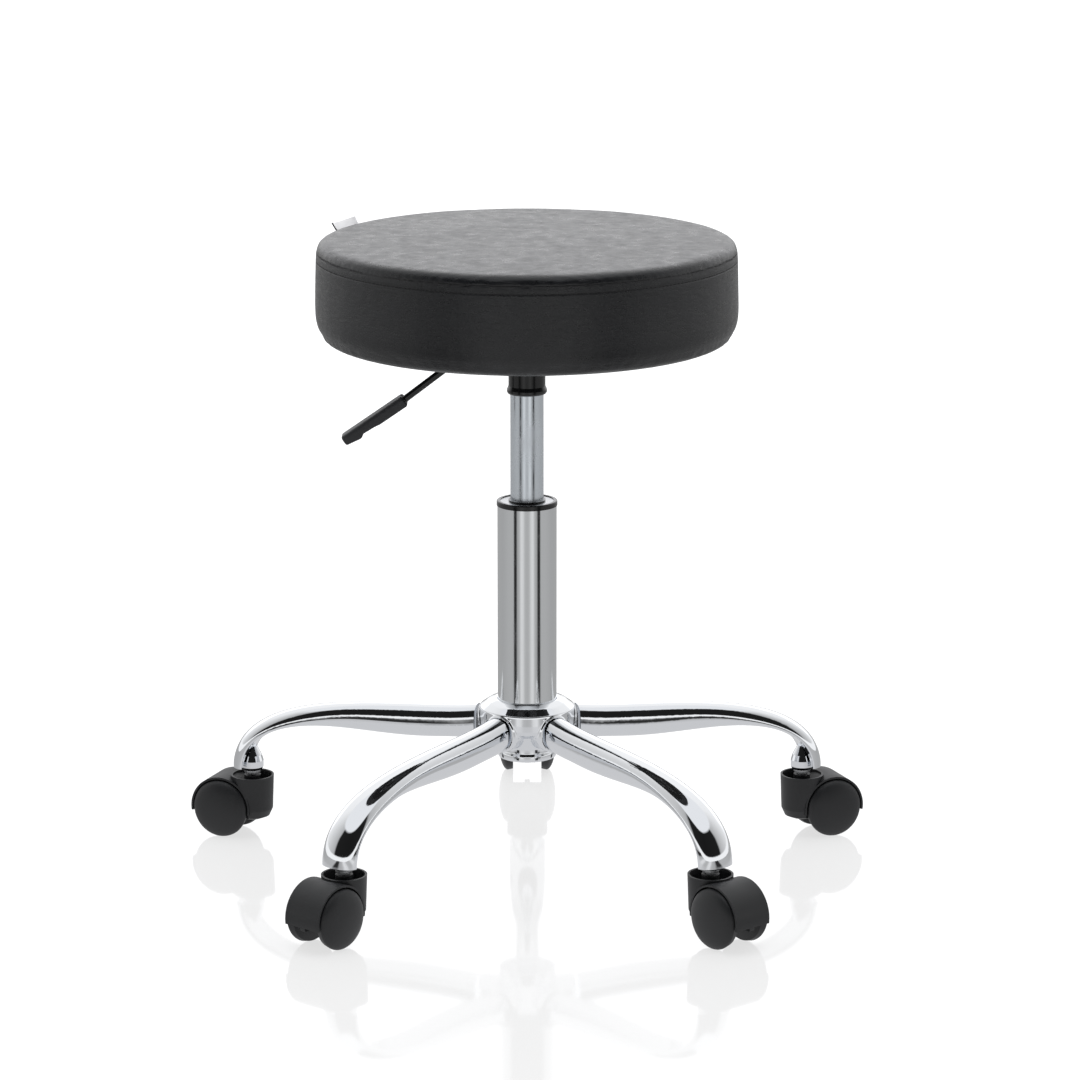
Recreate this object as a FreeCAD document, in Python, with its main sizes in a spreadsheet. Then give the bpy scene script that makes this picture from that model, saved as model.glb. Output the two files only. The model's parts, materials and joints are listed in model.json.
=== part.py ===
"""Adjustable swivel stool: round padded seat on a gas lift, five-armed chrome base, twin-wheel casters.

The origin lies on the floor under the column's axis, +Z is up and the release lever points along -X.
Lengths are millimetres and angles are degrees. The seat stands at the top of its travel.
"""
import FreeCAD, Part
import math
import os
import re

import Sketcher

Vector = FreeCAD.Vector
Z_AXIS = Vector(0, 0, 1)

# Driving dimensions. Every sub-part reads its sizes from the sheet that is filled with these.
SIZES = {
    # Plan of the base
    "arm_count": 5,
    "first_arm_angle": 18,
    "caster_circle": 252,
    # Outer column tube, tapered at its foot so that it locks in the hub
    "tube_radius": 25,
    "tube_wall": 1.5,
    "tube_foot": 96,
    "tube_foot_radius": 22,
    "tube_taper_top": 146,
    "tube_top": 313,
    "tube_floor": 99,
    "tube_floor_thick": 3,
    "tube_floor_hole": 6.5,
    # Cap ring, steel retainer and plastic guide at the column's mouth
    "ring_radius": 25.6,
    "ring_inner": 22.6,
    "ring_top": 317.3,
    "retainer_top": 316.6,
    "retainer_thick": 1.6,
    "guide_collar_radius": 15.6,
    "guide_collar_top": 317.9,
    "guide_foot": 213,
    # Hub
    "hub_foot": 94,
    "hub_flange_radius": 24.8,
    "hub_flange_thick": 5,
    "hub_neck_radius": 23.7,
    "hub_shoulder_radius": 41,
    "hub_shoulder_height": 131,
    "hub_mouth_radius": 27.2,
    "hub_top": 145.5,
    "boss_radius": 15.6,
    "boss_height": 121.5,
    "fit_gap": 0.05,
    # Arm: crown curve, depth and width
    "arm_root": 44,
    "arm_root_height": 135.8,
    "arm_tip": 267.6,
    "arm_tip_height": 62.5,
    "arm_root_depth": 28,
    "arm_tip_depth": 13,
    "arm_root_width": 25,
    "arm_tip_width": 33,
    "arm_hollow_radius": 13,
    "arm_hollow_top": 80,
    # Caster stem and its socket under the arm's tip
    "stem_radius": 5.5,
    "stem_top": 75,
    "stem_flange_radius": 7.35,
    "stem_flange_foot": 56.2,
    "stem_flange_top": 58.8,
    "stem_pivot_radius": 4,
    "stem_pivot_foot": 27,
    "socket_radius": 10,
    "socket_foot": 59,
    # Twin-wheel caster
    "caster_trail": 23,
    "wheel_radius": 25,
    "wheel_inner_plane": 13,
    "wheel_tread": 4.5,
    "wheel_dome": 8.6,
    "axle_radius": 3,
    "axle_length": 43,
    "cup_radius": 18.75,
    "cup_foot_radius": 17.6,
    "cup_wall": 1.8,
    "cup_top": 54,
    "cup_floor": 30,
    "cup_foot": 15,
    "fender_radius": 28,
    "fender_wall": 1.7,
    "fender_width": 36,
    "fender_foot": 21,
    "web_thick": 5,
    "boss_stem_radius": 7.25,
    "running_gap": 0.05,
    # Gas lift, at the top of its stroke
    "rod_radius": 5,
    "rod_foot": 95.6,
    "piston_foot": 217,
    "piston_height": 10,
    "cylinder_radius": 14,
    "cylinder_bore": 12.2,
    "cylinder_foot": 205,
    "cylinder_taper_foot": 409,
    "cylinder_top": 431,
    "cylinder_top_radius": 13.25,
    "cylinder_crown": 6,
    "gland_height": 10,
    "ball_radius": 2,
    "ball_circle": 10.3,
    "ball_count": 8,
    "race_radius": 14,
    "race_thick": 1.5,
    "race_gap": 0.1,
    "valve_radius": 3,
    "valve_foot": 425.2,
    "valve_top": 437.9,
    # Seat mechanism and lever
    "socket_tube_foot": 408.8,
    "socket_tube_radius": 15.5,
    "socket_tube_flare": 16.8,
    "plate_foot": 446.8,
    "plate_thick": 2.5,
    "plate_side": 140,
    "bolt_spacing": 100,
    "bolt_radius": 3,
    "bolt_head_radius": 5,
    "bolt_head_height": 4,
    "pivot_reach": 30,
    "lever_height": 441,
    "lever_radius": 3,
    "lever_slope": 37.3,
    "lever_run": 52.9,
    "lever_drop_reach": 102.7,
    "lever_eye_radius": 3.9,
    "lever_pin_radius": 1.8,
    "grip_slope": 34.5,
    "grip_length": 60,
    "grip_width": 16,
    "grip_rise": 3.5,
    "grip_drop": 3.8,
    "grip_hook_length": 12.6,
    # Seat
    "seat_radius": 176,
    "seat_seam_radius": 174.6,
    "seat_foot": 450.3,
    "seat_seam": 530,
    "seat_top": 538,
    "seat_top_round": 9,
    "seat_foot_slope": 42,
    "seat_foot_rise": 8,
    "seat_foot_round": 19,
    "seat_widest": 484,
    "cover_thick": 1.2,
    "cover_hem_radius": 122,
    "board_radius": 150,
    "board_thick": 12,
    "board_bevel": 4,
    "cloth_radius": 133,
    "cloth_thick": 0.7,
    "staple_count": 24,
    "staple_circle": 127,
    "label_angle": 149.5,
    "label_width": 34,
    "label_height": 12,
    "label_lean": 37,
    "label_thick": 0.9,
}

# Turn of each caster away from straight outwards, arm by arm.
CASTER_TURNS = (4, 0, -4, -4, 4)

# Height of the seat board's underside, on top of the cover's hem.
BOARD_FOOT = "(seat_foot + cover_thick + 0.05)"

document = FreeCAD.newDocument("swivel_stool")
sheet = document.addObject("Spreadsheet::Sheet", "sizes")
for line, (alias, size) in enumerate(SIZES.items(), start=1):
    sheet.set("A%d" % line, alias)
    sheet.set("B%d" % line, str(size))
    sheet.setAlias("B%d" % line, alias)
document.recompute()

subparts = []


def bound(text):
    """Expression text in which every size's name points at its cell in the sheet."""
    return re.sub(r"[a-z_]+", lambda word: ("sizes." if word.group() in SIZES else "") + word.group(), text)


def value(text):
    """Present value of an expression in sizes."""
    return float(sheet.evalExpression(bound(text)))


def keep(feature, label):
    """Lists a finished feature as the sub-part that its label names."""
    feature.Label = label
    subparts.append(feature)
    return feature


def set_sizes(feature, **expressions):
    """Binds properties of a feature to expressions in sizes."""
    for name, text in expressions.items():
        feature.setExpression(name, bound(text))
    return feature


def place(feature, x="0", y="0", z="0", axis=Z_AXIS, angle=0):
    """Stands a feature at a point given by expressions, turned about an axis through that point."""
    feature.Placement = FreeCAD.Placement(Vector(0, 0, 0), FreeCAD.Rotation(axis, angle))
    for name, text in (("x", x), ("y", y), ("z", z)):
        feature.setExpression("Placement.Base." + name, bound(text))
    return feature


def cylinder(name, radius, height, **where):
    """Upright cylinder whose radius and height are expressions."""
    feature = document.addObject("Part::Cylinder", name)
    set_sizes(feature, Radius=radius, Height=height)
    return place(feature, **where)


def block(name, length, width, height, **where):
    """Box whose three sides are expressions, placed by its lowest corner."""
    feature = document.addObject("Part::Box", name)
    set_sizes(feature, Length=length, Width=width, Height=height)
    return place(feature, **where)


def cone(name, foot_radius, top_radius, height, **where):
    """Upright cone frustum."""
    feature = document.addObject("Part::Cone", name)
    set_sizes(feature, Radius1=foot_radius, Radius2=top_radius, Height=height)
    return place(feature, **where)


def cut(name, base, tool):
    """Base with the tool taken away."""
    feature = document.addObject("Part::Cut", name)
    feature.Base = base
    feature.Tool = tool
    return feature


def fuse(name, shapes):
    """Several overlapping shapes made one."""
    feature = document.addObject("Part::MultiFuse", name)
    feature.Shapes = shapes
    return feature


def common(name, first, second):
    """What two shapes share."""
    feature = document.addObject("Part::MultiCommon", name)
    feature.Shapes = [first, second]
    return feature


def group(name, shapes):
    """Separate solids kept together as one sub-part."""
    feature = document.addObject("Part::Compound", name)
    feature.Links = shapes
    return feature


def origin_plane(body, role):
    """One of a body's own origin planes."""
    return next(item for item in body.Origin.OriginFeatures if item.Role == role)


def outline_sketch(body, role, outline):
    """Closed sketch of straight lines whose corners are pairs of expressions."""
    sketch = body.newObject("Sketcher::SketchObject", body.Name + "_outline")
    sketch.AttachmentSupport = [(origin_plane(body, role), "")]
    sketch.MapMode = "FlatFace"
    corners = [Vector(value(across), value(up), 0) for across, up in outline]
    for here, following in zip(corners, corners[1:] + corners[:1]):
        sketch.addGeometry(Part.LineSegment(here, following), False)
    for edge in range(len(corners)):
        sketch.addConstraint(Sketcher.Constraint("Coincident", edge, 2, (edge + 1) % len(corners), 1))
    for edge, (corner, texts) in enumerate(zip(corners, outline)):
        for kind, distance, text in (("DistanceX", corner.x, texts[0]), ("DistanceY", corner.y, texts[1])):
            index = sketch.addConstraint(Sketcher.Constraint(kind, -1, 1, edge, 1, distance))
            sketch.setExpression("Constraints[%d]" % index, bound(text))
    return sketch


def turned(name, outline):
    """Body turned about its own upright axis from an outline of (radius, height) corners."""
    body = document.addObject("PartDesign::Body", name)
    sketch = outline_sketch(body, "XZ_Plane", outline)
    turn = body.newObject("PartDesign::Revolution", name + "_turn")
    turn.Profile = sketch
    turn.ReferenceAxis = (sketch, ["V_Axis"])
    turn.Angle = 360
    sketch.Visibility = False
    return body


def tube(name, outer, inner, foot, top):
    """Plain ring or bush between two heights."""
    return turned(name, [(inner, foot), (outer, foot), (outer, top), (inner, top)])


def padded(name, role, outline, length, midplane=False):
    """Body padded from an outline on one of its origin planes."""
    body = document.addObject("PartDesign::Body", name)
    sketch = outline_sketch(body, role, outline)
    pad = body.newObject("PartDesign::Pad", name + "_pad")
    pad.Profile = sketch
    pad.Midplane = midplane
    pad.setExpression("Length", bound(length))
    return body


def rounded(body, radius, chosen):
    """Rounds the edges of a body that the test picks out."""
    document.recompute()
    tip = body.Tip
    names = ["Edge%d" % (n + 1) for n, edge in enumerate(tip.Shape.Edges) if chosen(edge)]
    fillet = body.newObject("PartDesign::Fillet", body.Name + "_round")
    fillet.Base = (tip, names)
    fillet.setExpression("Radius", bound(radius))
    document.recompute()
    return body


def rim_at(radius, height):
    """Test for the circular edge of a given radius and height, both expressions."""
    return lambda edge: (
        abs(edge.BoundBox.ZMin - value(height)) < 1e-3
        and abs(edge.BoundBox.ZMax - value(height)) < 1e-3
        and abs(edge.BoundBox.XMax - value(radius)) < 1e-2
    )


def arm_angles():
    """Directions of the arms, in degrees from +X."""
    step = 360 / SIZES["arm_count"]
    return [SIZES["first_arm_angle"] + step * arm for arm in range(SIZES["arm_count"])]


def stem_place(angle):
    """Expressions that stand a feature on the stem's axis at the end of an arm."""
    return {"x": "caster_circle * cos(%g deg)" % angle, "y": "caster_circle * sin(%g deg)" % angle, "angle": angle}


# ---------------------------------------------------------------- arms
def smooth_step(low, high, at):
    """0 below low, 1 above high, with a smooth change between."""
    share = min(1, max(0, (at - low) / (high - low)))
    return share * share * (3 - 2 * share)


def crown_curve():
    """Line along the top of an arm, in the XZ plane, from the hub out and down to the caster."""
    root, tip = value("arm_root"), value("arm_tip")
    root_height, tip_height = value("arm_root_height"), value("arm_tip_height")
    span, drop = tip - root, root_height - tip_height
    curve = Part.BezierCurve()
    curve.setPoles([
        Vector(root, 0, root_height),
        Vector(root + 0.262 * span, 0, root_height - 0.14 * drop),
        Vector(root + 0.795 * span, 0, root_height + 0.02 * drop),
        Vector(tip - 1.2, 0, root_height - 0.42 * drop),
        Vector(tip, 0, tip_height),
    ])
    return curve


def arm_section(curve, at):
    """Closed rounded section square to the crown curve, rounder at the hub and flatter below at the tip."""
    crown = curve.value(at)
    along = Vector(*curve.tangent(at)[0]) if at > 0 else Vector(1, 0, 0)
    down = Vector(along.z, 0, -along.x)
    narrowing = smooth_step(95, 255, crown.x)
    spread = smooth_step(150, 262, crown.x)
    depth = value("arm_root_depth") + narrowing * value("arm_tip_depth - arm_root_depth")
    half_width = (value("arm_root_width") + spread * value("arm_tip_width - arm_root_width")) / 2
    upper_share = 0.5 + 0.32 * spread
    squareness = 2 / (2.35 - 0.35 * spread)
    count = 12
    points = []
    for corner in range(count):
        turn = 2 * math.pi * corner / count
        across = math.copysign(abs(math.cos(turn)) ** squareness, math.cos(turn)) * half_width
        rise = math.copysign(abs(math.sin(turn)) ** squareness, math.sin(turn))
        share = upper_share if rise > 0 else 1 - upper_share
        below_crown = depth * (upper_share - rise * share)
        points.append(crown + down * below_crown + Vector(0, across, 0))
    ring = Part.BSplineCurve()
    ring.interpolate(Points=points, PeriodicFlag=True, Parameters=[float(step) for step in range(count + 1)])
    return Part.Wire(ring.toShape())


def arm_form(name):
    """Arm along +X: lofted through its sections, with a bell-shaped hollow under the tip for the socket."""
    curve = crown_curve()
    section_count = 13
    sections = []
    for number in range(section_count):
        at = curve.parameterAtDistance(curve.length() * number / (section_count - 1), 0)
        section = document.addObject("Part::Feature", "%s_section_%d" % (name, number))
        section.Shape = arm_section(curve, at)
        sections.append(section)
    loft = document.addObject("Part::Loft", name + "_loft")
    loft.Sections = sections
    loft.Solid = True
    loft.MaxDegree = 3
    bell = turned(name + "_bell", [
        ("0", "arm_tip_height - 5"),
        ("arm_hollow_radius", "arm_tip_height - 5"),
        ("arm_hollow_radius", "arm_tip_height + 4"),
        ("arm_hollow_radius * 0.86", "arm_tip_height + 11"),
        ("arm_hollow_radius * 0.6", "arm_hollow_top - 3.5"),
        ("arm_hollow_radius * 0.45", "arm_hollow_top"),
        ("0", "arm_hollow_top"),
    ])
    place(bell, x="caster_circle")
    return cut(name, loft, bell)


def make_arms():
    """The five identical arms, each turned to its own direction about the column."""
    for number, angle in enumerate(arm_angles(), start=1):
        arm = arm_form("arm_%d_form" % number)
        keep(place(arm, angle=angle), "leg_%d" % number)


# ---------------------------------------------------------------- column and hub
def make_column():
    """Outer tube with its floor, and the ring, retainer and guide bush at its mouth."""
    keep(turned("column_tube", [
        ("tube_floor_hole", "tube_floor"),
        ("tube_foot_radius - tube_wall", "tube_floor"),
        ("tube_foot_radius - tube_wall", "tube_foot"),
        ("tube_foot_radius", "tube_foot"),
        ("tube_radius", "tube_taper_top"),
        ("tube_radius", "tube_top"),
        ("tube_radius - tube_wall", "tube_top"),
        ("tube_radius - tube_wall", "tube_taper_top"),
        ("tube_foot_radius - tube_wall", "tube_floor + tube_floor_thick"),
        ("tube_floor_hole", "tube_floor + tube_floor_thick"),
    ]), "column_tube")
    ring = tube("column_ring", "ring_radius", "ring_inner", "tube_top", "ring_top")
    keep(rounded(ring, "1", rim_at("ring_radius", "ring_top")), "column_ring")
    keep(tube("bush_retainer", "ring_inner", "guide_collar_radius",
              "retainer_top - retainer_thick", "retainer_top"), "bush_retainer")
    guide_bore = "cylinder_radius + running_gap"
    keep(turned("guide_bush", [
        (guide_bore, "guide_foot"),
        ("tube_radius - tube_wall", "guide_foot"),
        ("tube_radius - tube_wall", "tube_top"),
        ("ring_inner", "tube_top"),
        ("ring_inner", "retainer_top - retainer_thick"),
        ("guide_collar_radius", "retainer_top - retainer_thick"),
        ("guide_collar_radius", "guide_collar_top"),
        (guide_bore, "guide_collar_top"),
    ]), "guide_bush")


def make_hub():
    """Cast hub: a domed shoulder over a neck and foot flange, with a flat-ended boss for every arm."""
    trunk = turned("hub_trunk", [
        ("0", "hub_foot"),
        ("hub_flange_radius", "hub_foot"),
        ("hub_flange_radius", "hub_foot + hub_flange_thick"),
        ("hub_neck_radius", "hub_foot + hub_flange_thick + 2"),
        ("hub_neck_radius", "hub_foot + 12"),
        ("hub_shoulder_radius - 11", "boss_height - 4"),
        ("hub_shoulder_radius - 1.5", "hub_shoulder_height - 7"),
        ("hub_shoulder_radius", "hub_shoulder_height"),
        ("hub_shoulder_radius - 2.5", "hub_shoulder_height + 6"),
        ("hub_mouth_radius + 5", "hub_top - 2.5"),
        ("hub_mouth_radius", "hub_top"),
        ("0", "hub_top"),
    ])
    bosses = []
    for number, angle in enumerate(arm_angles(), start=1):
        boss = cylinder("hub_boss_%d" % number, "boss_radius", "arm_root", z="boss_height")
        boss.Placement.Rotation = FreeCAD.Rotation(Z_AXIS, angle) * FreeCAD.Rotation(Vector(0, 1, 0), 90)
        bosses.append(boss)
    solid = fuse("hub_solid", [trunk] + bosses)
    bore = turned("hub_bore", [
        ("0", "hub_foot - 1"),
        ("tube_foot_radius + fit_gap", "hub_foot - 1"),
        ("tube_foot_radius + fit_gap", "tube_foot"),
        ("tube_radius + fit_gap", "tube_taper_top"),
        ("0", "tube_taper_top"),
    ])
    keep(cut("hub_bored", solid, bore), "hub")


# ---------------------------------------------------------------- casters
def make_stem_sockets():
    """Acorn-shaped stem sockets welded into the hollows under the arm tips."""
    acorns = []
    for number, angle in enumerate(arm_angles(), start=1):
        acorn = turned("acorn_%d" % number, [
            ("stem_radius", "socket_foot"),
            ("socket_radius * 0.86", "socket_foot"),
            ("socket_radius", "socket_foot + 2.5"),
            ("socket_radius", "socket_foot + 8"),
            ("socket_radius * 0.86", "socket_foot + 13"),
            ("socket_radius * 0.62", "arm_hollow_top - 3.5"),
            ("socket_radius * 0.45", "arm_hollow_top"),
            ("0", "arm_hollow_top"),
            ("0", "stem_top"),
            ("stem_radius", "stem_top"),
        ])
        acorns.append(place(acorn, **stem_place(angle)))
    keep(group("acorns", acorns), "stem_sockets")


def make_stems():
    """Caster stems: a plain shank in the socket, a flange, and a pivot pin on which the hood turns."""
    stems = []
    for number, angle in enumerate(arm_angles(), start=1):
        stem = turned("stem_%d" % number, [
            ("0", "stem_pivot_foot"),
            ("stem_pivot_radius", "stem_pivot_foot"),
            ("stem_pivot_radius", "stem_flange_foot"),
            ("stem_flange_radius", "stem_flange_foot"),
            ("stem_flange_radius", "stem_flange_top"),
            ("stem_radius", "stem_flange_top"),
            ("stem_radius", "stem_top"),
            ("0", "stem_top"),
        ])
        stems.append(place(stem, **stem_place(angle)))
    keep(group("caster_stems_group", stems), "caster_stems")


def caster_hood(name):
    """Hood about the stem's axis, trailing along +X: cup, stem boss, centre web, fender and wheel pockets."""
    across = {"axis": Vector(1, 0, 0), "angle": 90, "x": "caster_trail", "z": "wheel_radius"}
    cup = turned(name + "_cup", [
        ("0", "cup_foot"),
        ("cup_foot_radius - 9", "cup_foot"),
        ("cup_foot_radius - 3", "cup_foot + 2.5"),
        ("cup_foot_radius", "cup_foot + 9"),
        ("cup_radius", "cup_top"),
        ("cup_radius - cup_wall", "cup_top"),
        ("cup_radius - cup_wall - 0.6", "cup_floor"),
        ("boss_stem_radius", "cup_floor"),
        ("boss_stem_radius", "cup_top"),
        ("0", "cup_top"),
    ])
    rim = cylinder(name + "_rim", "fender_radius", "fender_width", y="fender_width / 2", **across)
    rim_inside = cylinder(name + "_rim_inside", "fender_radius - fender_wall", "fender_width + 2",
                          y="fender_width / 2 + 1", **across)
    fender = cut(name + "_fender", rim, rim_inside)
    below = block(name + "_below", "4 * fender_radius", "2 * fender_width", "fender_radius",
                  x="caster_trail - 2 * fender_radius", y="0 - fender_width", z="fender_foot - fender_radius")
    canopy = cut(name + "_canopy", fender, below)
    web_disc = cylinder(name + "_web_disc", "fender_radius - 0.5", "web_thick", y="web_thick / 2", **across)
    web = cut(name + "_web", web_disc, block(
        name + "_under_web", "4 * fender_radius", "2 * fender_width", "fender_radius",
        x="caster_trail - 2 * fender_radius", y="0 - fender_width", z="wheel_radius - 7 - fender_radius"))
    hub_length = "2 * wheel_inner_plane - 1"
    axle_boss = cylinder(name + "_axle_boss", "2 * axle_radius", hub_length, y="wheel_inner_plane - 0.5", **across)
    solid = fuse(name + "_solid", [cup, canopy, web, axle_boss])
    pocket_depth = "fender_width"
    pocket_radius = "fender_radius - fender_wall"
    pockets = [
        cylinder(name + "_pocket_left", pocket_radius, pocket_depth,
                 y="wheel_inner_plane - 0.5 + " + pocket_depth, **across),
        cylinder(name + "_pocket_right", pocket_radius, pocket_depth, y="0.5 - wheel_inner_plane", **across),
    ]
    axle_bore = cylinder(name + "_axle_bore", "axle_radius", "2 * fender_width", y="fender_width", **across)
    stem_bore = cylinder(name + "_stem_bore", "stem_pivot_radius + running_gap", "cup_top",
                         z="stem_pivot_foot - 0.5")
    return cut(name, solid, group(name + "_openings", pockets + [axle_bore, stem_bore]))


def caster_wheel(name):
    """Wheel lying on its inner face, with a crowned outer face and a blind bore."""
    tread = cone(name + "_tread", "wheel_radius - 1", "wheel_radius", "wheel_tread")
    dome = document.addObject("Part::Ellipsoid", name + "_dome")
    set_sizes(dome, Radius1="wheel_dome", Radius2="wheel_radius", Radius3="wheel_radius")
    dome.Angle1 = 0
    dome.Angle2 = 90
    dome.Angle3 = 360
    place(dome, z="wheel_tread")
    solid = fuse(name + "_solid", [tread, dome])
    bore = cylinder(name + "_bore", "axle_radius + running_gap",
                    "axle_length / 2 - wheel_inner_plane + 1.3", z="0 - 1")
    return cut(name, solid, bore)


def make_casters():
    """Five casters: hood, axle and two wheels each, placed by the arm's direction and the caster's turn."""
    for number, (angle, turn) in enumerate(zip(arm_angles(), CASTER_TURNS), start=1):
        heading = angle + turn
        stem = stem_place(angle)
        stem_x, stem_y = stem["x"], stem["y"]
        hood = caster_hood("hood_%d" % number)
        place(hood, x=stem_x, y=stem_y, angle=heading)
        keep(hood, "caster_hood_%d" % number)
        axle_x = stem_x + " + caster_trail * cos(%g deg)" % heading
        axle_y = stem_y + " + caster_trail * sin(%g deg)" % heading
        left = "cos(%g deg)" % (heading + 90)
        left_y = "sin(%g deg)" % (heading + 90)
        heading_turn = FreeCAD.Rotation(Z_AXIS, heading)
        axle = cylinder("axle_%d" % number, "axle_radius", "axle_length")
        place(axle, x=axle_x + " - axle_length / 2 * " + left, y=axle_y + " - axle_length / 2 * " + left_y,
              z="wheel_radius")
        axle.Placement.Rotation = heading_turn * FreeCAD.Rotation(Vector(1, 0, 0), -90)
        keep(axle, "caster_axle_%d" % number)
        for suffix, side in (("a", 1), ("b", -1)):
            wheel = caster_wheel("wheel_%d%s_form" % (number, suffix))
            offset = " + %d * wheel_inner_plane * " % side
            place(wheel, x=axle_x + offset + left, y=axle_y + offset + left_y, z="wheel_radius")
            wheel.Placement.Rotation = heading_turn * FreeCAD.Rotation(Vector(1, 0, 0), -90 * side)
            keep(wheel, "wheel_%d%s" % (number, suffix))


# ---------------------------------------------------------------- gas lift
def make_thrust_bearing():
    """Ball thrust bearing on the tube's floor that lets the seat swivel."""
    lower_foot = "tube_floor + tube_floor_thick"
    lower_top = lower_foot + " + race_thick"
    upper_foot = lower_top + " + 2 * ball_radius + race_gap"
    keep(tube("lower_race", "race_radius", "tube_floor_hole", lower_foot, lower_top), "lower_race")
    keep(tube("upper_race", "race_radius", "rod_radius", upper_foot, upper_foot + " + race_thick"), "upper_race")
    balls = []
    for number in range(SIZES["ball_count"]):
        angle = 360 / SIZES["ball_count"] * number
        ball = document.addObject("Part::Sphere", "ball_%d" % (number + 1))
        set_sizes(ball, Radius="ball_radius")
        balls.append(place(ball, x="ball_circle * cos(%g deg)" % angle, y="ball_circle * sin(%g deg)" % angle,
                           z=lower_top + " + ball_radius"))
    keep(group("balls", balls), "bearing_balls")
    return upper_foot + " + race_thick"


def make_piston_rod(shoulder_foot):
    """Fixed rod with its shoulder on the bearing, the clip under the floor, the stop and the piston."""
    groove_foot = "tube_floor - 2"
    groove_top = "tube_floor - 0.6"
    shoulder_top = shoulder_foot + " + 3"
    keep(turned("piston_rod", [
        ("0", "rod_foot"),
        ("rod_radius", "rod_foot"),
        ("rod_radius", groove_foot),
        ("rod_radius - 1", groove_foot),
        ("rod_radius - 1", groove_top),
        ("rod_radius", groove_top),
        ("rod_radius", shoulder_foot),
        ("rod_radius + 3", shoulder_foot),
        ("rod_radius + 3", shoulder_top),
        ("rod_radius", shoulder_top),
        ("rod_radius", "piston_foot"),
        ("0", "piston_foot"),
    ]), "piston_rod")
    keep(tube("retaining_clip", "rod_radius + 4", "rod_radius - 1", groove_foot, groove_top), "retaining_clip")
    keep(tube("stop_bumper", "rod_radius + 6.5", "rod_radius", shoulder_top, shoulder_top + " + 5"), "stop_bumper")
    piston_radius = "cylinder_bore - 0.09"
    seal_foot = "piston_foot + 3.5"
    seal_top = "piston_foot + 6.5"
    keep(turned("piston", [
        ("0", "piston_foot"),
        (piston_radius, "piston_foot"),
        (piston_radius, seal_foot),
        (piston_radius + " - 2", seal_foot),
        (piston_radius + " - 2", seal_top),
        (piston_radius, seal_top),
        (piston_radius, "piston_foot + piston_height"),
        ("0", "piston_foot + piston_height"),
    ]), "piston")
    keep(tube("piston_seal", "cylinder_bore - 0.03", piston_radius + " - 2", seal_foot, seal_top), "piston_seal")


def make_cylinder():
    """Gas cylinder that slides in the guide bush, its rod gland and the valve pin in its crown."""
    keep(turned("gas_cylinder", [
        ("cylinder_bore", "cylinder_foot"),
        ("cylinder_radius", "cylinder_foot"),
        ("cylinder_radius", "cylinder_taper_foot"),
        ("cylinder_top_radius", "cylinder_top"),
        ("valve_radius + running_gap", "cylinder_top"),
        ("valve_radius + running_gap", "cylinder_top - cylinder_crown"),
        ("cylinder_bore", "cylinder_top - cylinder_crown"),
    ]), "gas_cylinder")
    keep(tube("rod_gland", "cylinder_bore", "rod_radius + running_gap",
              "cylinder_foot", "cylinder_foot + gland_height"), "rod_gland")
    pin = turned("valve_pin", [
        ("0", "valve_foot"),
        ("valve_radius", "valve_foot"),
        ("valve_radius", "valve_top"),
        ("0", "valve_top"),
    ])
    keep(rounded(pin, "1", rim_at("valve_radius", "valve_top")), "valve_pin")


# ---------------------------------------------------------------- seat mechanism
def make_mechanism_socket():
    """Conical socket that grips the cylinder's head, slotted on the lever's side."""
    slot_foot = "cylinder_top + 3"
    sleeve = turned("socket_sleeve", [
        ("cylinder_radius + fit_gap", "socket_tube_foot"),
        ("socket_tube_flare - 0.9", "socket_tube_foot"),
        ("socket_tube_flare", "socket_tube_foot + 1.4"),
        ("socket_tube_flare", "socket_tube_foot + 3.4"),
        ("socket_tube_radius", "socket_tube_foot + 6.5"),
        ("socket_tube_radius", "plate_foot"),
        ("cylinder_top_radius + fit_gap", "plate_foot"),
        ("cylinder_top_radius + fit_gap", "cylinder_top"),
        ("cylinder_radius + fit_gap", "cylinder_taper_foot"),
    ])
    slot = block("socket_slot", "2 * socket_tube_flare", "2 * lever_radius + 2.4", "plate_foot",
                 x="0 - 2 * socket_tube_flare", y="0 - lever_radius - 1.2", z=slot_foot)
    keep(cut("mechanism_socket", sleeve, slot), "mechanism_socket")


def bolt_places():
    """The four bolt positions, as pairs of expressions."""
    half = "bolt_spacing / 2"
    return [(x + half, y + half) for x in ("0 + ", "0 - ") for y in ("0 + ", "0 - ")]


def bolt_holes(name, radius, foot, height):
    """Four upright cylinders on the bolt pattern, to cut holes with."""
    return group(name, [
        cylinder("%s_%d" % (name, number), radius, height, x=x, y=y, z=foot)
        for number, (x, y) in enumerate(bolt_places(), start=1)
    ])


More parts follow.
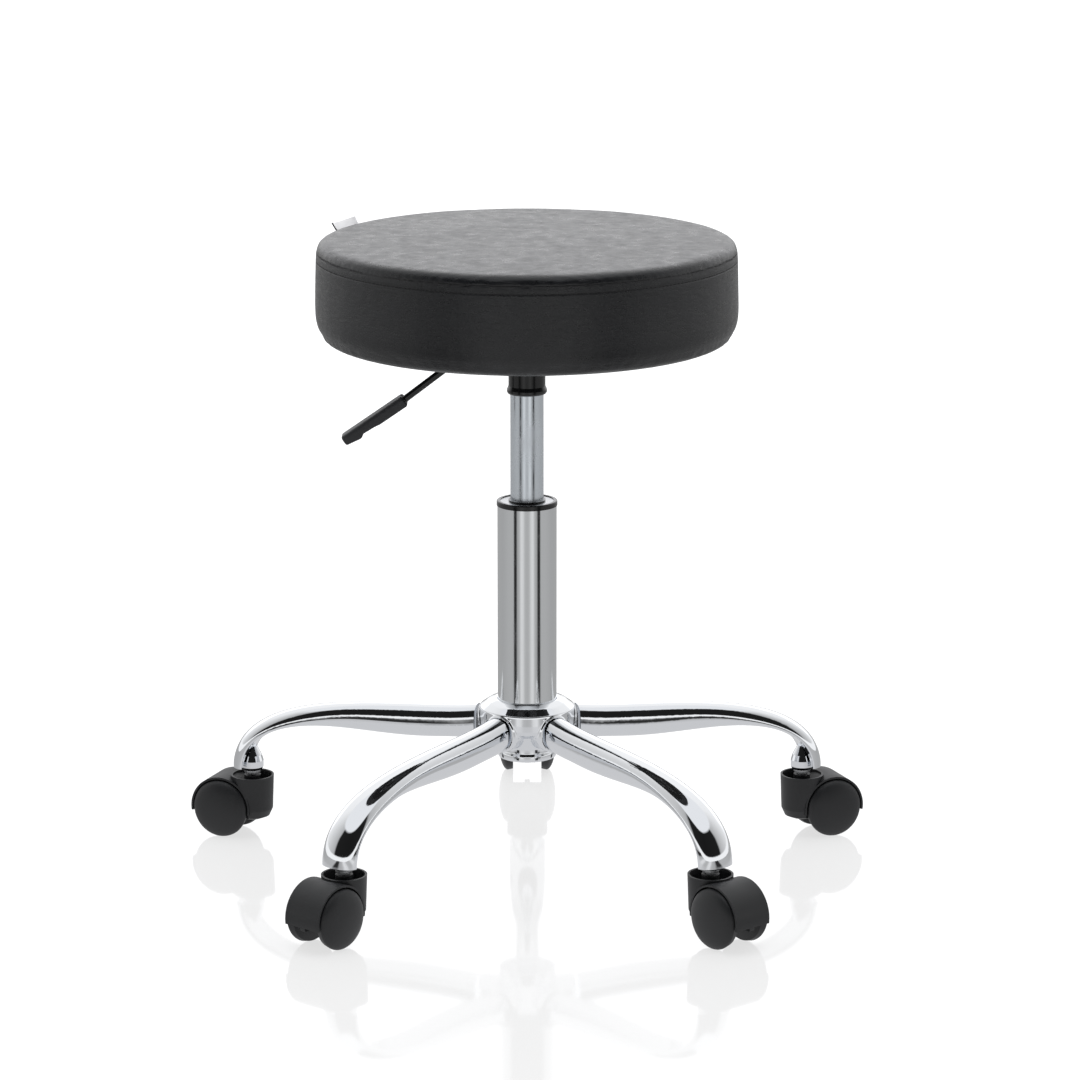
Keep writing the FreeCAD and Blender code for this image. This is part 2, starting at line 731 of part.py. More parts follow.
def make_plate():
    """Pressed mounting plate with rounded corners, its four bolts and the nuts sunk in the seat board."""
    half = "plate_side / 2"
    body = padded("plate_blank", "XY_Plane", [
        ("0 - " + half, "0 - " + half), (half, "0 - " + half), (half, half), ("0 - " + half, half),
    ], "plate_thick")
    rounded(body, "12", lambda edge: edge.BoundBox.ZLength > 1)
    place(body, z="plate_foot")
    hole_height = "plate_thick + 2"
    keep(cut("mechanism_plate", body, bolt_holes("plate_holes", "bolt_radius + 0.3", "plate_foot - 1", hole_height)),
         "mechanism_plate")
    bolts = []
    for number, (x, y) in enumerate(bolt_places(), start=1):
        head = document.addObject("Part::Prism", "bolt_head_%d" % number)
        head.Polygon = 6
        set_sizes(head, Circumradius="bolt_head_radius", Height="bolt_head_height")
        place(head, x=x, y=y, z="plate_foot - bolt_head_height")
        shank = cylinder("bolt_shank_%d" % number, "bolt_radius",
                         "bolt_head_height / 2 + plate_thick + board_thick + 2",
                         x=x, y=y, z="plate_foot - bolt_head_height / 2")
        bolts.append(fuse("bolt_%d" % number, [head, shank]))
    keep(group("bolts", bolts), "mounting_bolts")
    nuts = []
    for number, (x, y) in enumerate(bolt_places(), start=1):
        nut = turned("nut_%d" % number, [
            ("bolt_radius", BOARD_FOOT + " + 4"),
            ("bolt_radius + 1", BOARD_FOOT + " + 4"),
            ("bolt_radius + 1", BOARD_FOOT + " + board_thick - 1"),
            ("bolt_radius + 6", BOARD_FOOT + " + board_thick - 1"),
            ("bolt_radius + 6", BOARD_FOOT + " + board_thick"),
            ("bolt_radius", BOARD_FOOT + " + board_thick"),
        ])
        nuts.append(place(nut, x=x, y=y))
    keep(group("nuts", nuts), "tee_nuts")


def make_lever():
    """Bracket and pin under the plate, the cranked lever rod and its moulded grip."""
    ear_gap = "(lever_pin_radius + 3.2)"
    web_thick = "1.4"
    bracket_blank = block("bracket_blank", "8", "2 * (%s + 2.5)" % ear_gap, "plate_foot - lever_height + 5",
                          x="0 - pivot_reach - 4", y="0 - %s - 2.5" % ear_gap, z="lever_height - 5")
    bracket_gap = block("bracket_gap", "10", "2 * (%s)" % ear_gap, "plate_foot - lever_height + 5 - " + web_thick,
                        x="0 - pivot_reach - 5", y="0 - " + ear_gap, z="lever_height - 5")
    pin_bore = cylinder("bracket_bore", "lever_pin_radius", "30", x="0 - pivot_reach", y="15", z="lever_height",
                        axis=Vector(1, 0, 0), angle=90)
    keep(cut("lever_bracket", cut("bracket_channel", bracket_blank, bracket_gap), pin_bore), "lever_bracket")
    pin_shank = cylinder("pin_shank", "lever_pin_radius", "17", x="0 - pivot_reach", y="8.5", z="lever_height",
                         axis=Vector(1, 0, 0), angle=90)
    pin_head = cylinder("pin_head", "lever_pin_radius + 1.2", "1", x="0 - pivot_reach", y="8.5", z="lever_height",
                        axis=Vector(1, 0, 0), angle=90)
    keep(fuse("lever_pin_solid", [pin_shank, pin_head]), "lever_pin")

    path = lever_path()
    spine = document.addObject("Part::Feature", "lever_spine")
    spine.Shape = path
    rod_end = document.addObject("Part::Circle", "lever_end")
    set_sizes(rod_end, Radius="lever_radius")
    place(rod_end, x="9", z="lever_height", axis=Vector(0, 1, 0), angle=90)
    sweep = document.addObject("Part::Sweep", "lever_sweep")
    sweep.Sections = [rod_end]
    sweep.Spine = (spine, [])
    sweep.Solid = True
    eye = cylinder("lever_eye", "lever_eye_radius", "9.4", x="0 - pivot_reach", y="4.7", z="lever_height",
                   axis=Vector(1, 0, 0), angle=90)
    eye_bore = cylinder("lever_eye_bore", "lever_pin_radius + running_gap", "12", x="0 - pivot_reach", y="6",
                        z="lever_height", axis=Vector(1, 0, 0), angle=90)
    keep(cut("lever_rod", fuse("lever_blank", [sweep, eye]), eye_bore), "lever_rod")
    make_grip()


def lever_path():
    """Centre line of the lever rod: level, then down at its slope, then down at the grip's slope."""
    run, reach, level = value("lever_run"), value("lever_drop_reach"), value("lever_height")
    slope, grip_slope = math.radians(value("lever_slope")), math.radians(value("grip_slope"))
    knee_height = level - (reach - run) * math.tan(slope)
    buried = 24
    corners = [
        Vector(9, 0, level),
        Vector(-run, 0, level),
        Vector(-reach, 0, knee_height),
        Vector(-reach - buried * math.cos(grip_slope), 0, knee_height - buried * math.sin(grip_slope)),
    ]
    return rounded_path(corners, radius=14)


def rounded_path(corners, radius):
    """Wire of straight runs joined by tangent arcs of one radius."""
    edges = []
    start = corners[0]
    for before, corner, after in zip(corners, corners[1:], corners[2:]):
        back = (before - corner).normalize()
        ahead = (after - corner).normalize()
        half_turn = (math.pi - back.getAngle(ahead)) / 2
        reach = radius * math.tan(half_turn)
        arc_start = corner + back * reach
        arc_end = corner + ahead * reach
        middle_way = (back + ahead).normalize()
        arc_middle = corner + middle_way * (radius / math.cos(half_turn) - radius)
        edges.append(Part.LineSegment(start, arc_start).toShape())
        edges.append(Part.Arc(arc_start, arc_middle, arc_end).toShape())
        start = arc_end
    edges.append(Part.LineSegment(start, corners[-1]).toShape())
    return Part.Wire(edges)


def make_grip():
    """Flat moulded grip with a finger step underneath and a hook at its end, bored for the rod."""
    grip = padded("grip_blank", "XZ_Plane", [
        ("0", "grip_rise"),
        ("grip_length", "grip_rise"),
        ("grip_length", "0 - grip_drop + 1.1"),
        ("grip_length - grip_hook_length", "0 - grip_drop - 0.9"),
        ("grip_length - grip_hook_length - 3.6", "0 - grip_drop + 1.4"),
        ("grip_length - grip_hook_length - 15", "0 - grip_drop + 0.8"),
        ("grip_length - grip_hook_length - 20", "0 - grip_drop"),
        ("0", "0 - grip_drop"),
    ], "grip_width", midplane=True)
    rounded(grip, "1.8", lambda edge: edge.BoundBox.YLength < 0.1 and edge.BoundBox.ZMin > value("grip_rise") - 0.1)
    knee = value("lever_height") - (value("lever_drop_reach") - value("lever_run")) * math.tan(
        math.radians(value("lever_slope")))
    turn = FreeCAD.Rotation(Vector(0, 1, 0), -value("grip_slope")) * FreeCAD.Rotation(Z_AXIS, 180)
    grip.Placement = FreeCAD.Placement(Vector(-value("lever_drop_reach"), 0, knee), turn)
    bore = cylinder("grip_bore", "lever_radius", "25", x="0 - lever_drop_reach", z="%g" % knee,
                    axis=Vector(0, 1, 0), angle=-90 - value("grip_slope"))
    keep(cut("lever_grip", grip, bore), "lever_grip")


# ---------------------------------------------------------------- seat
def seat_outline(inset):
    """Corners of the seat's side view, set in by an expression, before its edges are rounded."""
    return [
        ("0", "seat_foot + " + inset),
        ("seat_radius - seat_foot_slope - " + inset, "seat_foot + " + inset),
        ("seat_radius - 1.2 - " + inset, "seat_foot + seat_foot_rise + " + inset),
        ("seat_radius - " + inset, "seat_widest"),
        ("seat_seam_radius - " + inset, "seat_seam"),
        ("seat_seam_radius - 0.6 - " + inset, "seat_top - " + inset),
        ("0", "seat_top - " + inset),
    ]


def seat_form(name, inset):
    """Rounded seat body, set in from the outer skin."""
    body = turned(name, seat_outline(inset))
    rounded(body, "seat_top_round - " + inset,
            rim_at("seat_seam_radius - 0.6 - " + inset, "seat_top - " + inset))
    document.recompute()
    tip = body.Tip
    lower_rim = rim_at("seat_radius - 1.2 - " + inset, "seat_foot + seat_foot_rise + " + inset)
    names = ["Edge%d" % (n + 1) for n, edge in enumerate(tip.Shape.Edges) if lower_rim(edge)]
    fillet = body.newObject("PartDesign::Fillet", name + "_foot_round")
    fillet.Base = (tip, names)
    fillet.setExpression("Radius", bound("seat_foot_round - " + inset))
    return body


def make_seat():
    """Plywood board, foam, sewn cover in two panels, dust cloth, staples and the blank side tag."""
    board = turned("board_blank", [
        ("0", BOARD_FOOT),
        ("seat_radius - seat_foot_slope - 2", BOARD_FOOT),
        ("board_radius", BOARD_FOOT + " + board_bevel"),
        ("board_radius", BOARD_FOOT + " + board_thick"),
        ("0", BOARD_FOOT + " + board_thick"),
    ])
    nut_clearance = group("board_openings", [
        bolt_holes("nut_barrels", "bolt_radius + 1", BOARD_FOOT + " + 4", "board_thick"),
        bolt_holes("nut_flanges", "bolt_radius + 6", BOARD_FOOT + " + board_thick - 1", "2"),
        bolt_holes("board_bolts", "bolt_radius + 0.2", BOARD_FOOT + " - 1", "board_thick"),
    ])
    keep(cut("seat_board", board, nut_clearance), "seat_board")

    outer = seat_form("seat_outer", "0")
    inner = seat_form("seat_inner", "cover_thick")
    foam_room = cylinder("board_room", "board_radius + 0.1", "board_thick + 2.05", z=BOARD_FOOT + " - 2")
    keep(cut("seat_foam", seat_form("foam_form", "(cover_thick + 0.05)"), foam_room), "seat_foam")

    skin = cut("cover_skin", outer, inner)
    opening = cylinder("cover_opening", "cover_hem_radius", "20", z="seat_foot - 10")
    below_seam = cylinder("below_seam", "2 * seat_radius", "seat_seam - seat_foot + 5", z="seat_foot - 5")
    above_seam = cylinder("above_seam", "2 * seat_radius", "40", z="seat_seam")
    keep(common("cover_top", skin, above_seam), "cover_top")
    band = common("cover_band_ring", skin, below_seam)
    keep(cut("cover_band", band, opening), "cover_band")

    cloth = cylinder("cloth_blank", "cloth_radius", "cloth_thick", z="seat_foot - cloth_thick")
    cloth_holes = bolt_holes("cloth_holes", "bolt_radius + 0.3", "seat_foot - 2", "4")
    keep(cut("base_cloth", cloth, cloth_holes), "base_cloth")
    make_staples()
    make_label()


def make_staples():
    """Ring of wire staples that holds the cover's hem and the dust cloth to the board."""
    wire = "0.5"
    crown, leg = "10", "7"
    staples = []
    for number in range(SIZES["staple_count"]):
        angle = 360 / SIZES["staple_count"] * number
        where = {"x": "staple_circle * cos(%g deg)" % angle, "y": "staple_circle * sin(%g deg)" % angle}
        name = "staple_%d" % (number + 1)
        foot = "seat_foot - cloth_thick - " + wire
        pieces = []
        for part, across, height in (("crown", "0 - %s / 2" % crown, wire), ("left", "0 - %s / 2" % crown, leg),
                                     ("right", "%s / 2 - 1" % crown, leg)):
            length = crown if part == "crown" else "1"
            piece = document.addObject("Part::Box", name + "_" + part)
            set_sizes(piece, Length="1", Width=length, Height=height)
            pieces.append(place(piece, y=across, z=foot))
        staple = fuse(name, pieces)
        staples.append(place(staple, angle=angle, **where))
    keep(group("staples", staples), "cover_staples")


def make_label():
    """Blank folded tag sewn into the upper seam, leaning outwards."""
    tag = block("label_blank", "label_thick", "label_width", "label_height")
    direction = value("label_angle")
    lean = FreeCAD.Rotation(Z_AXIS, direction) * FreeCAD.Rotation(Vector(0, 1, 0), value("label_lean"))
    corner = lean.multVec(Vector(0, -value("label_width") / 2, 0))
    root = "(seat_radius + 0.4)"
    place(tag, x=root + " * cos(label_angle * 1 deg) + %g" % corner.x,
          y=root + " * sin(label_angle * 1 deg) + %g" % corner.y, z="seat_seam + 1")
    tag.Placement.Rotation = lean
    keep(tag, "seat_label")


def check_and_write():
    """Stops on any failed feature, then writes one file for each sub-part."""
    document.recompute()
    for item in document.Objects:
        if "Invalid" in item.State or "Error" in item.State:
            raise RuntimeError("%s did not build: %s" % (item.Label, item.State))
    for feature in subparts:
        if feature.Shape.isNull() or not feature.Shape.isValid():
            raise RuntimeError("%s has no sound shape" % feature.Label)
    os.makedirs("parts", exist_ok=True)
    for feature in subparts:
        feature.Shape.exportStep("parts/%s.step" % feature.Label)
        print("%-18s %10.1f mm3, %d solids" % (feature.Label, feature.Shape.Volume, len(feature.Shape.Solids)))


make_arms()
make_column()
make_hub()
make_stem_sockets()
make_stems()
make_casters()
rod_shoulder = make_thrust_bearing()
make_piston_rod(rod_shoulder)
make_cylinder()
make_mechanism_socket()
make_plate()
make_lever()
make_seat()
check_and_write()
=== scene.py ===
"""Adjustable swivel stool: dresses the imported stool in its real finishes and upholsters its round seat.

Lengths are metres. The origin lies on the floor under the column's axis, +Z is up and the lever points
along -X.
"""
from __future__ import annotations

import json
import logging
import math
from collections.abc import Callable, Iterable
from dataclasses import dataclass, fields
from enum import Enum
from typing import Any

import bmesh
import bpy
from mathutils import Matrix, Vector

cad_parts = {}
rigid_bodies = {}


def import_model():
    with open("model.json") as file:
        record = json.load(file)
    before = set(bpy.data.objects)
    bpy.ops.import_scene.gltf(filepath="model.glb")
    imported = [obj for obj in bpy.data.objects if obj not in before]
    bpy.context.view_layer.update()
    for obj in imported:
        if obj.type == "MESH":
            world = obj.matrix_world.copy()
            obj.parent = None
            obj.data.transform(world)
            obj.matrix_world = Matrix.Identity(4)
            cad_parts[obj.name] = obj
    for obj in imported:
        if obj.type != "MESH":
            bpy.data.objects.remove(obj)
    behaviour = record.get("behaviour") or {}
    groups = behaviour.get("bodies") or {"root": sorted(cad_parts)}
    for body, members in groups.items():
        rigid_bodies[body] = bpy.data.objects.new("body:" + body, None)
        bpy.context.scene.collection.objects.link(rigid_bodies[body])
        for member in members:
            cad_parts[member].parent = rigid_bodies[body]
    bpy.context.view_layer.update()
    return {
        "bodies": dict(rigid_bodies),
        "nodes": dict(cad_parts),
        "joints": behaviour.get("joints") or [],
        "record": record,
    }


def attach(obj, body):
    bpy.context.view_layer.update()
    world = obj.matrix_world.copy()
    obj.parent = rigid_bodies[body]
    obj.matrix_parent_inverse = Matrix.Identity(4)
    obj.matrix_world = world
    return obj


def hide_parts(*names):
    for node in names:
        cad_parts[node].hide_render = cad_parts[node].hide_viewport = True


log = logging.getLogger("swivel_stool")

# points and edges within this distance of a height belong to it
SNUG = 1e-4


class Slot(Enum):
    """Material slots of the stool's record. The new pieces carry one, but take the finish they are given."""

    LEATHER = "black_pu_leather"
    TAG = "woven_tag"
    DUST_CLOTH = "dust_cloth"
    CHROME = "chrome_plate"
    NYLON = "black_nylon"


class Part(Enum):
    """What a selection in edit mode is made of."""

    POINTS = "VERT"
    EDGES = "EDGE"
    FACES = "FACE"


# ---- shared tools
def linear(code: str) -> tuple[float, float, float, float]:
    """Turns an sRGB hex value into a linear colour.

    Args:
        code: Colour such as "#2b2b2d".

    Returns:
        Red, green, blue and an alpha of 1, linear.
    """
    channels = [int(code[at:at + 2], 16) / 255 for at in (1, 3, 5)]
    red, green, blue = (c / 12.92 if c <= 0.04045 else ((c + 0.055) / 1.055) ** 2.4 for c in channels)
    return red, green, blue, 1.0


def add_node(
    tree: bpy.types.NodeTree, kind: str, sockets: dict[str | int, Any] | None = None, **settings: Any
) -> bpy.types.Node:
    """Adds one shader node.

    Args:
        tree: Node tree that gets the node.
        kind: Node type without its "ShaderNode".
        sockets: Inputs by name or number, each a number, a colour or a socket to link from.
        settings: The node's own properties.

    Returns:
        The new node.
    """
    node = tree.nodes.new("ShaderNode" + kind)
    for name, setting in settings.items():
        setattr(node, name, setting)
    for name, given in (sockets or {}).items():
        if isinstance(given, bpy.types.NodeSocket):
            tree.links.new(given, node.inputs[name])
        else:
            node.inputs[name].default_value = given
    return node


def clear_selection() -> None:
    """Leaves edit mode and deselects every object."""
    if bpy.context.object and bpy.context.object.mode != "OBJECT":
        bpy.ops.object.mode_set(mode="OBJECT")
    bpy.ops.object.select_all(action="DESELECT")


def take(obj: bpy.types.Object) -> bpy.types.Object:
    """Makes obj the only selected and active object.

    Args:
        obj: Object to work on.

    Returns:
        The same object.
    """
    clear_selection()
    obj.hide_set(False)
    obj.select_set(True)
    bpy.context.view_layer.objects.active = obj
    return obj


def named(name: str) -> bpy.types.Object:
    """Names the object that an operator has just added, and returns it."""
    obj = bpy.context.object
    obj.name = name
    obj.data.name = name
    return obj


def pick(part: Part, test: Callable[[Vector, Vector], bool]) -> None:
    """Selects parts of the mesh in edit mode.

    Args:
        part: Kind of element to select.
        test: Says of an element's middle, and its normal or an edge's direction, whether it is selected.
    """
    mesh = bmesh.from_edit_mesh(bpy.context.object.data)
    bpy.ops.mesh.select_mode(type=part.value)
    bpy.ops.mesh.select_all(action="DESELECT")
    if part is Part.FACES:
        found = [face for face in mesh.faces if test(face.calc_center_median(), face.normal)]
    elif part is Part.EDGES:
        ends = ((edge, edge.verts[0].co, edge.verts[1].co) for edge in mesh.edges)
        found = [edge for edge, start, end in ends if test((start + end) / 2, (end - start).normalized())]
    else:
        found = [point for point in mesh.verts if test(point.co, point.normal)]
    for element in found:
        element.select_set(True)
    mesh.select_flush_mode()
    bmesh.update_edit_mesh(bpy.context.object.data)


def finish_with(obj: bpy.types.Object, kind: str, **settings: Any) -> None:
    """Adds a modifier to obj and applies it.

    Args:
        obj: Object to change.
        kind: Modifier type.
        settings: The modifier's own properties.
    """
    take(obj)
    modifier = obj.modifiers.new(kind.lower(), kind)
    for name, setting in settings.items():
        setattr(modifier, name, setting)
    bpy.ops.object.modifier_apply(modifier=modifier.name)


def settle_place(obj: bpy.types.Object) -> None:
    """Puts an object's place, turn and scale into its mesh."""
    take(obj)
    bpy.ops.object.transform_apply(location=True, rotation=True, scale=True)


def smooth(obj: bpy.types.Object, angle: float = 35.0) -> None:
    """Shades obj smoothly except along edges sharper than an angle in degrees."""
    take(obj)
    bpy.ops.object.shade_smooth_by_angle(angle=math.radians(angle))


def copy_of_node(node: str, name: str) -> bpy.types.Object:
    """Copies a CAD node's mesh into a new object, with its loose triangles merged.

    Args:
        node: CAD node's name.
        name: Name of the new piece.

    Returns:
        The copy, at the origin.
    """
    source = bpy.data.objects[node]
    copy = bpy.data.objects.new(name, source.data.copy())
    bpy.context.scene.collection.objects.link(copy)
    copy.data.materials.clear()
    take(copy)
    if copy.data.has_custom_normals:
        bpy.ops.mesh.customdata_custom_splitnormals_clear()
    bpy.ops.object.mode_set(mode="EDIT")
    bpy.ops.mesh.select_all(action="SELECT")
    bpy.ops.mesh.remove_doubles(threshold=1e-5)
    bpy.ops.object.mode_set(mode="OBJECT")
    return copy


# ---- finishes
@dataclass(frozen=True)
class Finish:
    """A plain finish, on which the others build their own detail.

    Attributes:
        name: What the material is and how its surface was made.
        colour: sRGB hex value of its base colour.
        roughness: Roughness of its surface.
        metallic: 1 for bare metal.
        grain: Size of its finest unevenness, in metres.
        relief: Height of that unevenness, in metres.
        specular: Strength of its mirror reflection, 0.5 for most plastics.
    """

    name: str
    colour: str
    roughness: float
    metallic: float = 0.0
    grain: float = 0.0006
    relief: float = 0.00002
    specular: float = 0.5

    def material(self) -> bpy.types.Material:
        """Builds the finish as a node material.

        Returns:
            The material.
        """
        material = bpy.data.materials.new(self.name)
        material.use_nodes = True
        tree = material.node_tree
        tree.nodes.clear()
        shader = add_node(tree, "BsdfPrincipled", {
            "Base Color": linear(self.colour), "Metallic": self.metallic, "Roughness": self.roughness,
            "Specular IOR Level": self.specular,
        })
        add_node(tree, "OutputMaterial", {"Surface": shader.outputs["BSDF"]})
        self.detail(tree, shader, add_node(tree, "TexCoord").outputs["Object"])
        return material

    def detail(self, tree: bpy.types.NodeTree, shader: bpy.types.Node, place: bpy.types.NodeSocket) -> None:
        """Adds fine unevenness and a slight change of gloss.

        Args:
            tree: Node tree of the material.
            shader: Its main shader.
            place: Socket with the place on the object, in metres.
        """
        fine = add_node(tree, "TexNoise", {"Vector": place, "Scale": 1 / self.grain, "Detail": 3.0})
        broad = add_node(tree, "TexNoise", {"Vector": place, "Scale": 22.0, "Detail": 2.0})
        gloss = add_node(tree, "MapRange", {
            "Value": broad.outputs["Fac"], "From Min": 0.3, "From Max": 0.7,
            "To Min": self.roughness * 0.85, "To Max": min(1.0, self.roughness * 1.15),
        })
        tree.links.new(gloss.outputs["Result"], shader.inputs["Roughness"])
        self.emboss(tree, shader, fine.outputs["Fac"])

    def emboss(self, tree: bpy.types.NodeTree, shader: bpy.types.Node, height: bpy.types.NodeSocket) -> None:
        """Raises the surface by the finish's own relief.

        Args:
            tree: Node tree of the material.
            shader: Its main shader.
            height: Socket with the pattern to raise.
        """
        bump = add_node(tree, "Bump", {"Height": height, "Distance": self.relief, "Strength": 1.0})
        tree.links.new(bump.outputs["Normal"], shader.inputs["Normal"])


@dataclass(frozen=True)
class ChromePlate(Finish):
    """Polished steel under decorative chrome: mirror reflections with a faint haze where hands wipe it."""

    def detail(self, tree: bpy.types.NodeTree, shader: bpy.types.Node, place: bpy.types.NodeSocket) -> None:
        """Adds wiped haze in the gloss and the polish's faint waviness.

        Args:
            tree: Node tree of the material.
            shader: Its main shader.
            place: Socket with the place on the object, in metres.
        """
        # haze patches about 30 mm across
        haze = add_node(tree, "TexNoise", {"Vector": place, "Scale": 33.0, "Detail": 4.0, "Roughness": 0.6})
        gloss = add_node(tree, "MapRange", {
            "Value": haze.outputs["Fac"], "From Min": 0.35, "From Max": 0.75,
            "To Min": self.roughness * 0.6, "To Max": self.roughness * 1.7,
        })
        tree.links.new(gloss.outputs["Result"], shader.inputs["Roughness"])
        waves = add_node(tree, "TexNoise", {"Vector": place, "Scale": 1 / self.grain, "Detail": 1.0})
        self.emboss(tree, shader, waves.outputs["Fac"])


@dataclass(frozen=True)
class PuLeather(Finish):
    """Coated fabric embossed like leather: fine pebbles, soft creases along the side and a satin glow.

    Attributes:
        pebble: Width of an embossed pebble, in metres.
        crease: Width of a crease, in metres.
    """

    pebble: float = 0.0016
    crease: float = 0.011

    def detail(self, tree: bpy.types.NodeTree, shader: bpy.types.Node, place: bpy.types.NodeSocket) -> None:
        """Adds embossed pebbles, level creases, wear in the gloss and a slight mottling of the black.

        Args:
            tree: Node tree of the material.
            shader: Its main shader.
            place: Socket with the place on the object, in metres.
        """
        # real pebbles are 0.6 to 1 mm wide; they are drawn at 1.6 mm so that they show
        pebbles = add_node(tree, "TexVoronoi", {
            "Vector": place, "Scale": 1 / self.pebble, "Randomness": 1.0,
        }, feature="DISTANCE_TO_EDGE")
        valleys = add_node(tree, "MapRange", {
            "Value": pebbles.outputs["Distance"], "From Min": 0.0, "From Max": 0.25,
        })
        drawn_out = add_node(tree, "Mapping", {"Vector": place, "Scale": (1.0, 1.0, 4.5)})
        creases = add_node(tree, "TexNoise", {
            "Vector": drawn_out.outputs["Vector"], "Scale": 1 / self.crease, "Detail": 5.0,
            "Roughness": 0.62,
        })
        waves = add_node(tree, "TexNoise", {"Vector": place, "Scale": 24.0, "Detail": 2.0})
        pebble_bump = add_node(tree, "Bump", {
            "Height": valleys.outputs["Result"], "Distance": self.relief, "Strength": 1.0,
        })
        crease_bump = add_node(tree, "Bump", {
            "Height": creases.outputs["Fac"], "Distance": 0.0004, "Strength": 1.0,
            "Normal": pebble_bump.outputs["Normal"],
        })
        wave_bump = add_node(tree, "Bump", {
            "Height": waves.outputs["Fac"], "Distance": 0.0007, "Strength": 1.0,
            "Normal": crease_bump.outputs["Normal"],
        })
        tree.links.new(wave_bump.outputs["Normal"], shader.inputs["Normal"])
        gloss = add_node(tree, "MapRange", {
            "Value": creases.outputs["Fac"], "From Min": 0.3, "From Max": 0.7,
            "To Min": self.roughness - 0.06, "To Max": self.roughness + 0.08,
        })
        tree.links.new(gloss.outputs["Result"], shader.inputs["Roughness"])
        mottle = add_node(tree, "MixRGB", {
            "Fac": waves.outputs["Fac"], "Color1": linear("#101113"), "Color2": linear(self.colour),
        })
        tree.links.new(mottle.outputs["Color"], shader.inputs["Base Color"])


@dataclass(frozen=True)
class Plywood(Finish):
    """Birch plywood, sawn and left raw: pale face veneer with long soft grain and darker glue lines."""

    def detail(self, tree: bpy.types.NodeTree, shader: bpy.types.Node, place: bpy.types.NodeSocket) -> None:
        """Adds wood grain along X and the veneers' layers along Z.

        Args:
            tree: Node tree of the material.
            shader: Its main shader.
            place: Socket with the place on the object, in metres.
        """
        along = add_node(tree, "Mapping", {"Vector": place, "Scale": (6.0, 90.0, 90.0)})
        grain = add_node(tree, "TexNoise", {"Vector": along.outputs["Vector"], "Scale": 2.0, "Detail": 6.0})
        # seven veneers in 12 mm
        layers = add_node(tree, "TexWave", {"Vector": place, "Scale": 92.0, "Distortion": 0.3},
                          bands_direction="Z", wave_type="BANDS")
        face = add_node(tree, "MixRGB", {
            "Fac": grain.outputs["Fac"], "Color1": linear("#b58b5a"), "Color2": linear(self.colour),
        })
        ply = add_node(tree, "MixRGB", {
            "Fac": layers.outputs["Fac"], "Color1": face.outputs["Color"], "Color2": linear("#a47a4c"),
        }, blend_type="MULTIPLY")
        tree.links.new(ply.outputs["Color"], shader.inputs["Base Color"])


@dataclass(frozen=True)
class Weave(Finish):
    """Woven or bonded threads: a regular fine relief that scatters light softly.

    Attributes:
        thread: Distance from one thread to the next, in metres.
        contrast: How much painted shade darkens the gaps between threads, from 0 to 1.
    """

    thread: float = 0.0005
    contrast: float = 0.35

    def detail(self, tree: bpy.types.NodeTree, shader: bpy.types.Node, place: bpy.types.NodeSocket) -> None:
        """Adds crossing threads in relief and in tone, with painted shade in the gaps between them.

        Args:
            tree: Node tree of the material.
            shader: Its main shader.
            place: Socket with the place on the object, in metres.
        """
        # at a scale of 1 the bands repeat after about 0.32 of a unit
        across, along = (
            add_node(tree, "TexWave", {
                "Vector": place, "Scale": 0.32 / self.thread, "Distortion": 0.4,
            }, bands_direction=direction, wave_type="BANDS")
            for direction in "XY"
        )
        crossed = add_node(tree, "MixRGB", {
            "Fac": 0.5, "Color1": across.outputs["Color"], "Color2": along.outputs["Color"],
        })
        # painted shade: the base colour is darker in the gaps between threads, where the relief is lowest
        tone = add_node(tree, "MixRGB", {
            "Fac": self.contrast, "Color1": linear(self.colour), "Color2": crossed.outputs["Color"],
        }, blend_type="MULTIPLY")
        tree.links.new(tone.outputs["Color"], shader.inputs["Base Color"])
        self.emboss(tree, shader, crossed.outputs["Color"])


